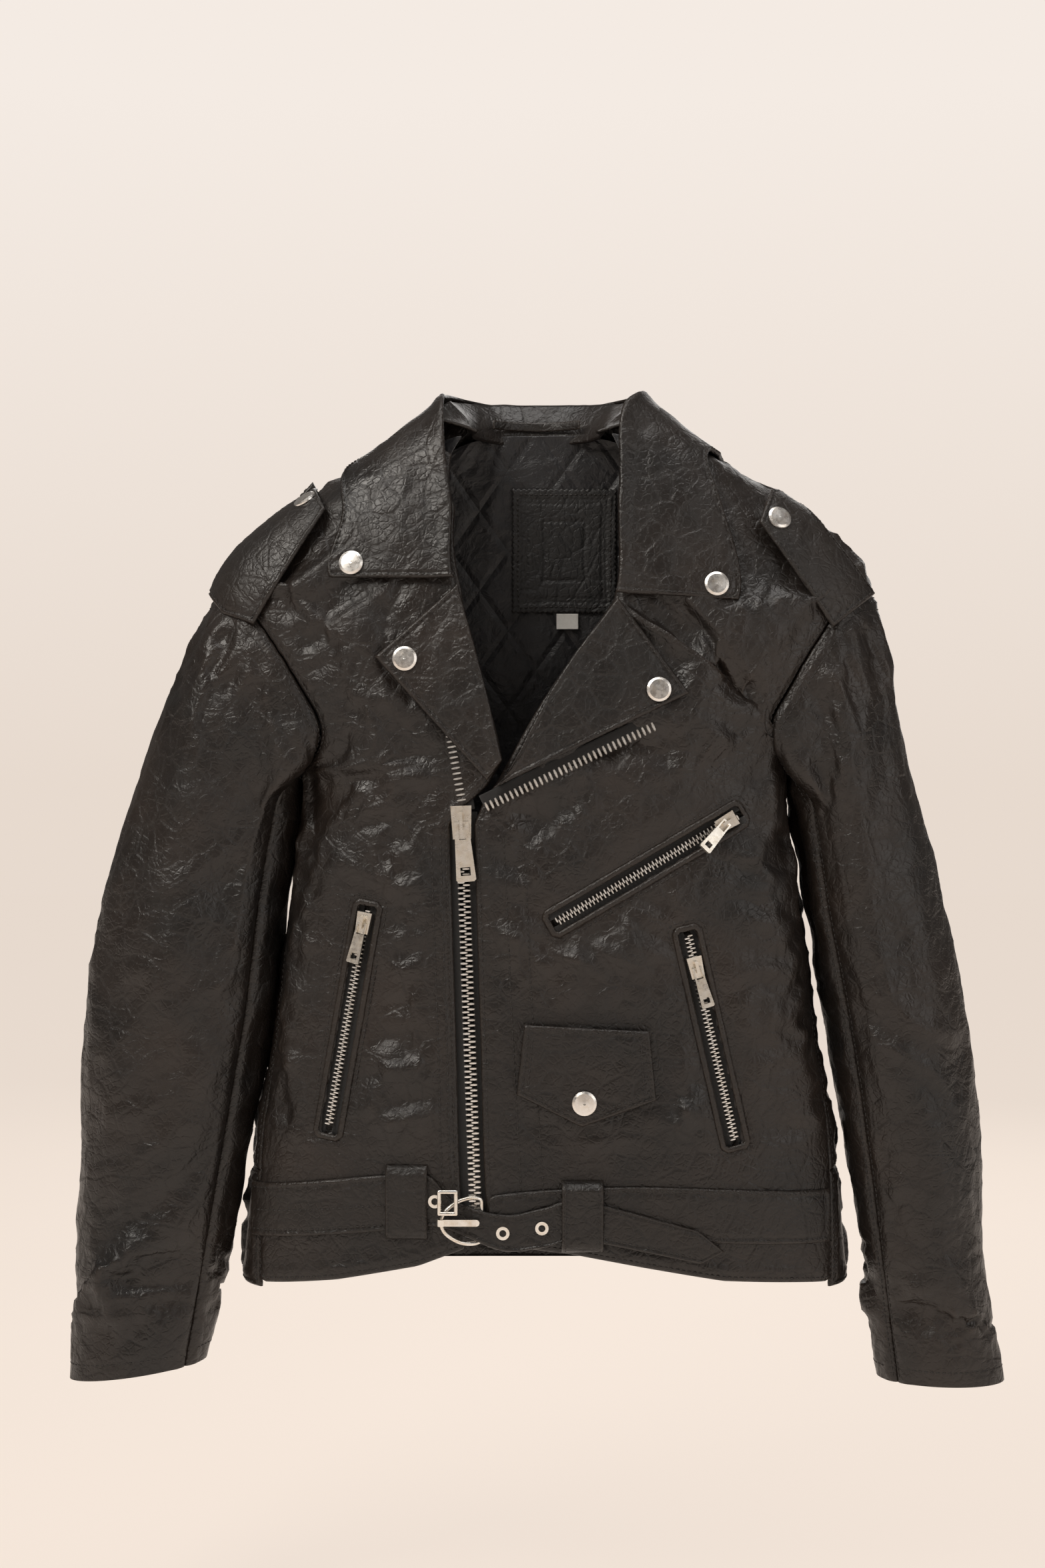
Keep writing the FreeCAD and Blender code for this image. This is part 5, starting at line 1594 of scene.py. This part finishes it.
# ---- inside: lining, label, tag and hang loop ------------------------------------------------------------
def build_lining():
    """Quilted satin lining of the body, from the right front edge round the back to the left front edge."""
    left = front_line(((-8, -498), (-14, -232), (46, -117), (49, -6)))
    right = front_line(((-62, -500), (-66, -250), (-46, -110), (-51, -6)))
    right[:, 0] += 4
    count = 80
    sigma = np.linspace(left[0, 0], right[0, 0], count)
    size = np.abs((sigma + 2) % 4 - 2)
    front_hem = np.interp(torso(sigma, np.full(count, -515.0))[:, 0], FRONT_HEM[:, 0], FRONT_HEM[:, 1])
    hem = np.stack((sigma, np.where(size < 1, np.maximum(front_hem + 9, LINING_HEM), LINING_HEM)), -1)
    left[0, 1], right[0, 1] = hem[0, 1], hem[-1, 1]
    sigma = np.linspace(left[-1, 0], right[-1, 0], count)
    top = np.stack((sigma, -6 + 4 * np.sin(np.linspace(0, math.pi, count))), -1)
    _, points, normals = sheet_grid((hem, right, top, left), on_torso, 4.0)
    outward = np.sign((normals * (points - np.array((TORSO_X, SIDE_Y, 0))))[..., :2].sum())
    normals = normals * outward
    ruffle = 1.3 * folds(points, (0.5, 0, 1), 21.0, 3.0) + 0.6 * folds(points + 9, (1, 0, 0.3), 9.0, 2.0)
    inner = points - normals * (14.6 + np.clip(ruffle, -1.6, 1.6))[..., None]
    outer = inner + normals * 1.0
    pair = (inner, outer) if outward < 0 else (inner[:, ::-1], outer[:, ::-1])
    piece = make_mesh("body_lining_satin", *two_sided(*pair), SATIN, "root")
    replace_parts(piece, "body_lining", "pocket_bags")


def on_inside_back(domain):
    """Inside of the back, seen from the front, in front of the lining."""
    x, z = domain[..., 0], domain[..., 1]
    half_width, depth = np.interp(z, HEIGHTS, HALF_WIDTH), np.interp(z, HEIGHTS, BACK_DEPTH)
    reach = np.clip(np.abs(x - TORSO_X) / half_width, 0, 1)
    y = SIDE_Y + depth * (1 - reach ** TORSO_POWER) ** (1 / TORSO_POWER) - 17.2
    return np.stack((x, y, z), -1)


def zigzag(start, end, tooth_size=3.4, depth=1.3):
    """Pinked edge between two (x, z) points."""
    start, end = np.array(start, float), np.array(end, float)
    run = (end - start) / np.linalg.norm(end - start)
    side = np.array((-run[1], run[0]))
    count = int(np.linalg.norm(end - start) / tooth_size) * 2
    points = [start + run * np.linalg.norm(end - start) * k / count for k in range(count + 1)]
    return np.array([p + side * depth * (k % 2) * (0 < k < count) for k, p in enumerate(points)])


def build_neck_parts():
    """Blank leather patch with a pinked edge and a pressed frame, the blank size tag and the hang loop."""
    left, right, low, high = -15.0, 51.0, -118.0, -37.0
    sides = (zigzag((left, low), (right, low)), zigzag((right, low), (right, high), depth=-1.3),
             zigzag((left, high), (right, high), depth=-1.3), zigzag((left, low), (left, high)))
    domain, points, normals = sheet_grid(sides, on_inside_back, 1.1)
    distance = border_distance(points)
    frame_lines = sum(stitch_groove(distance, inset) for inset in (7.0, 9.5, 21.0))
    height = 1.0 * rounded_edge(distance, 1.0) - 0.5 * frame_lines + 0.12 * noise(points, 4.0)
    upper = points + normals * height[..., None]
    piece = make_mesh("neck_patch", *two_sided(upper, points - normals * 0.4), LABEL_LEATHER, "root")
    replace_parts(piece, "neck_label")
    stitched("neck_patch_stitches", (domain, points, upper, normals), "root", inset=4.2)
    sides = (((13, -128), (27, -128)), ((27, -128), (27, -118)),
             ((13, -118), (27, -118)), ((13, -128), (13, -118)))
    domain, points, normals = sheet_grid(sides, on_inside_back, 0.9, (0.4, 0.9))
    curl = 0.9 * np.clip((-118 - points[..., 2]) / 10, 0, 1) ** 2 + 0.10 * noise(points, 3.0)
    upper = points + normals * (0.9 + curl)[..., None]
    piece = make_mesh("blank_tag", *two_sided(upper, upper - normals * 0.4), WHITE_CLOTH, "root")
    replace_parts(piece, "size_tag")
    sigma = np.linspace(-28, 28, 41)
    y = SIDE_Y + 36.6 * np.sqrt(1 - (sigma / 37.6) ** 2)
    y = y + 0.9 * np.clip((np.abs(sigma) - 23) / 4, 0, 1)
    heights = np.linspace(0.2, 5.8, 7)
    grid = np.stack(np.broadcast_arrays(sigma[None], y[None], heights[:, None]), -1)
    grid[..., 1] -= 0.25 * (1 - ((heights[:, None] - 3) / 2.8) ** 2)
    lower = grid + np.array((0, 1.1, 0))
    piece = make_mesh("hang_loop_leather", *two_sided(grid, lower), STRAP_LEATHER, "root")
    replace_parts(piece, "hang_loop")


# ---- plated parts keep their CAD shape -------------------------------------------------------------------
def dress_metal():
    wanted = (("snap", NICKEL), ("stud", NICKEL), ("slider", SLIDER_METAL), ("pull", SLIDER_METAL),
              ("eyelet", BUCKLE_METAL), ("buckle", BUCKLE_METAL), ("ring", BUCKLE_METAL))
    for name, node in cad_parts.items():
        if node.hide_render:
            continue
        for word, material in wanted:
            if word in name:
                node.data.materials.clear()
                node.data.materials.append(material)
                break


# ---- stage, light and camera -----------------------------------------------------------------------------
def build_stage():
    pale = Nodes("pale_floor")
    pale.bump(((pale.noise(40.0, 4.0), 0.0004, 0.2),))
    floor_color = pale.blend(pale.noise(3.0), (0.16, 0.14, 0.12), (0.18, 0.155, 0.135))
    pale.set(Base_Color=floor_color, Roughness=0.8, Emission_Color=(0.80, 0.70, 0.62), Emission_Strength=0.95)
    size, floor_z = 9000.0, -760.0
    floor = make_mesh("stage_floor", [(-size, -size, floor_z), (size, -size, floor_z),
                                      (size, size, floor_z), (-size, size, floor_z)],
                      [(0, 1, 2, 3)], pale.material)
    world = bpy.data.worlds.new("studio")
    world.use_nodes = True
    tree = world.node_tree
    background = tree.nodes["Background"]
    direction = tree.nodes.new("ShaderNodeTexCoord")
    parts = tree.nodes.new("ShaderNodeSeparateXYZ")
    fade = tree.nodes.new("ShaderNodeValToRGB")
    fade.color_ramp.elements[0].color = (0.80, 0.70, 0.62, 1.0)
    fade.color_ramp.elements[1].color = (0.905, 0.83, 0.77, 1.0)
    fade.color_ramp.elements[1].position = 0.3
    tree.links.new(direction.outputs["Generated"], parts.inputs["Vector"])
    tree.links.new(parts.outputs["Z"], fade.inputs["Fac"])
    tree.links.new(fade.outputs["Color"], background.inputs["Color"])
    rays = tree.nodes.new("ShaderNodeLightPath")
    strength = tree.nodes.new("ShaderNodeMapRange")
    strength.inputs["To Min"].default_value = 0.17
    strength.inputs["To Max"].default_value = 1.0
    tree.links.new(rays.outputs["Is Camera Ray"], strength.inputs["Value"])
    tree.links.new(strength.outputs["Result"], background.inputs["Strength"])
    bpy.context.scene.world = world


# name, place, aim, size, power and colour
LIGHTS = (
    ("key", (-1.0, -1.15, 1.05), (0, 0, -0.3), (0.9, 0.7), 21, (1.0, 0.95, 0.88)),
    ("fill", (1.4, -1.3, 0.3), (0, 0, -0.3), (1.2, 1.2), 6, (1.0, 0.96, 0.92)),
    ("top", (0.1, -0.35, 1.4), (0, 0, -0.2), (1.2, 0.8), 11, (1.0, 0.97, 0.94)),
    ("back", (0.3, 1.8, 0.5), (0, 0, -0.25), (1.6, 1.2), 14, (1.0, 0.97, 0.94)),
)


def area_light(name, place, aim, size, power, color):
    data = bpy.data.lights.new(name, "AREA")
    data.shape, data.size, data.energy, data.color = "RECTANGLE", size[0], power, color
    data.size_y = size[1]
    lamp = bpy.data.objects.new(name, data)
    lamp.location = place
    lamp.rotation_euler = (Vector(aim) - Vector(place)).to_track_quat("-Z", "Y").to_euler()
    bpy.context.scene.collection.objects.link(lamp)


def build_camera():
    data = bpy.data.cameras.new("camera")
    data.lens, data.sensor_width = 50.0, 36.0
    camera = bpy.data.objects.new("camera", data)
    camera.location = (-0.009, -1.412, -0.228)
    camera.rotation_euler = (math.radians(90), 0, 0)
    bpy.context.scene.view_settings.view_transform = "Standard"
    bpy.context.scene.collection.objects.link(camera)
    bpy.context.scene.camera = camera


build_torso()
build_sleeves()
for one_side in SIDE_NAMES:
    collar_half(one_side)
    build_lapel(one_side)
    build_epaulette(one_side)
build_stand()
build_coin_pocket()
build_belt()
zip_tapes = make_mesh("zip_tape_set", *join_parts(build_pocket_zips() + build_main_zip()), TAPE_CLOTH, "root")
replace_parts(zip_tapes, "zip_tapes")
build_lapel_zip()
build_cuff_zips()
build_lining()
build_neck_parts()
dress_metal()
build_stage()
for light in LIGHTS:
    area_light(*light)
build_camera()
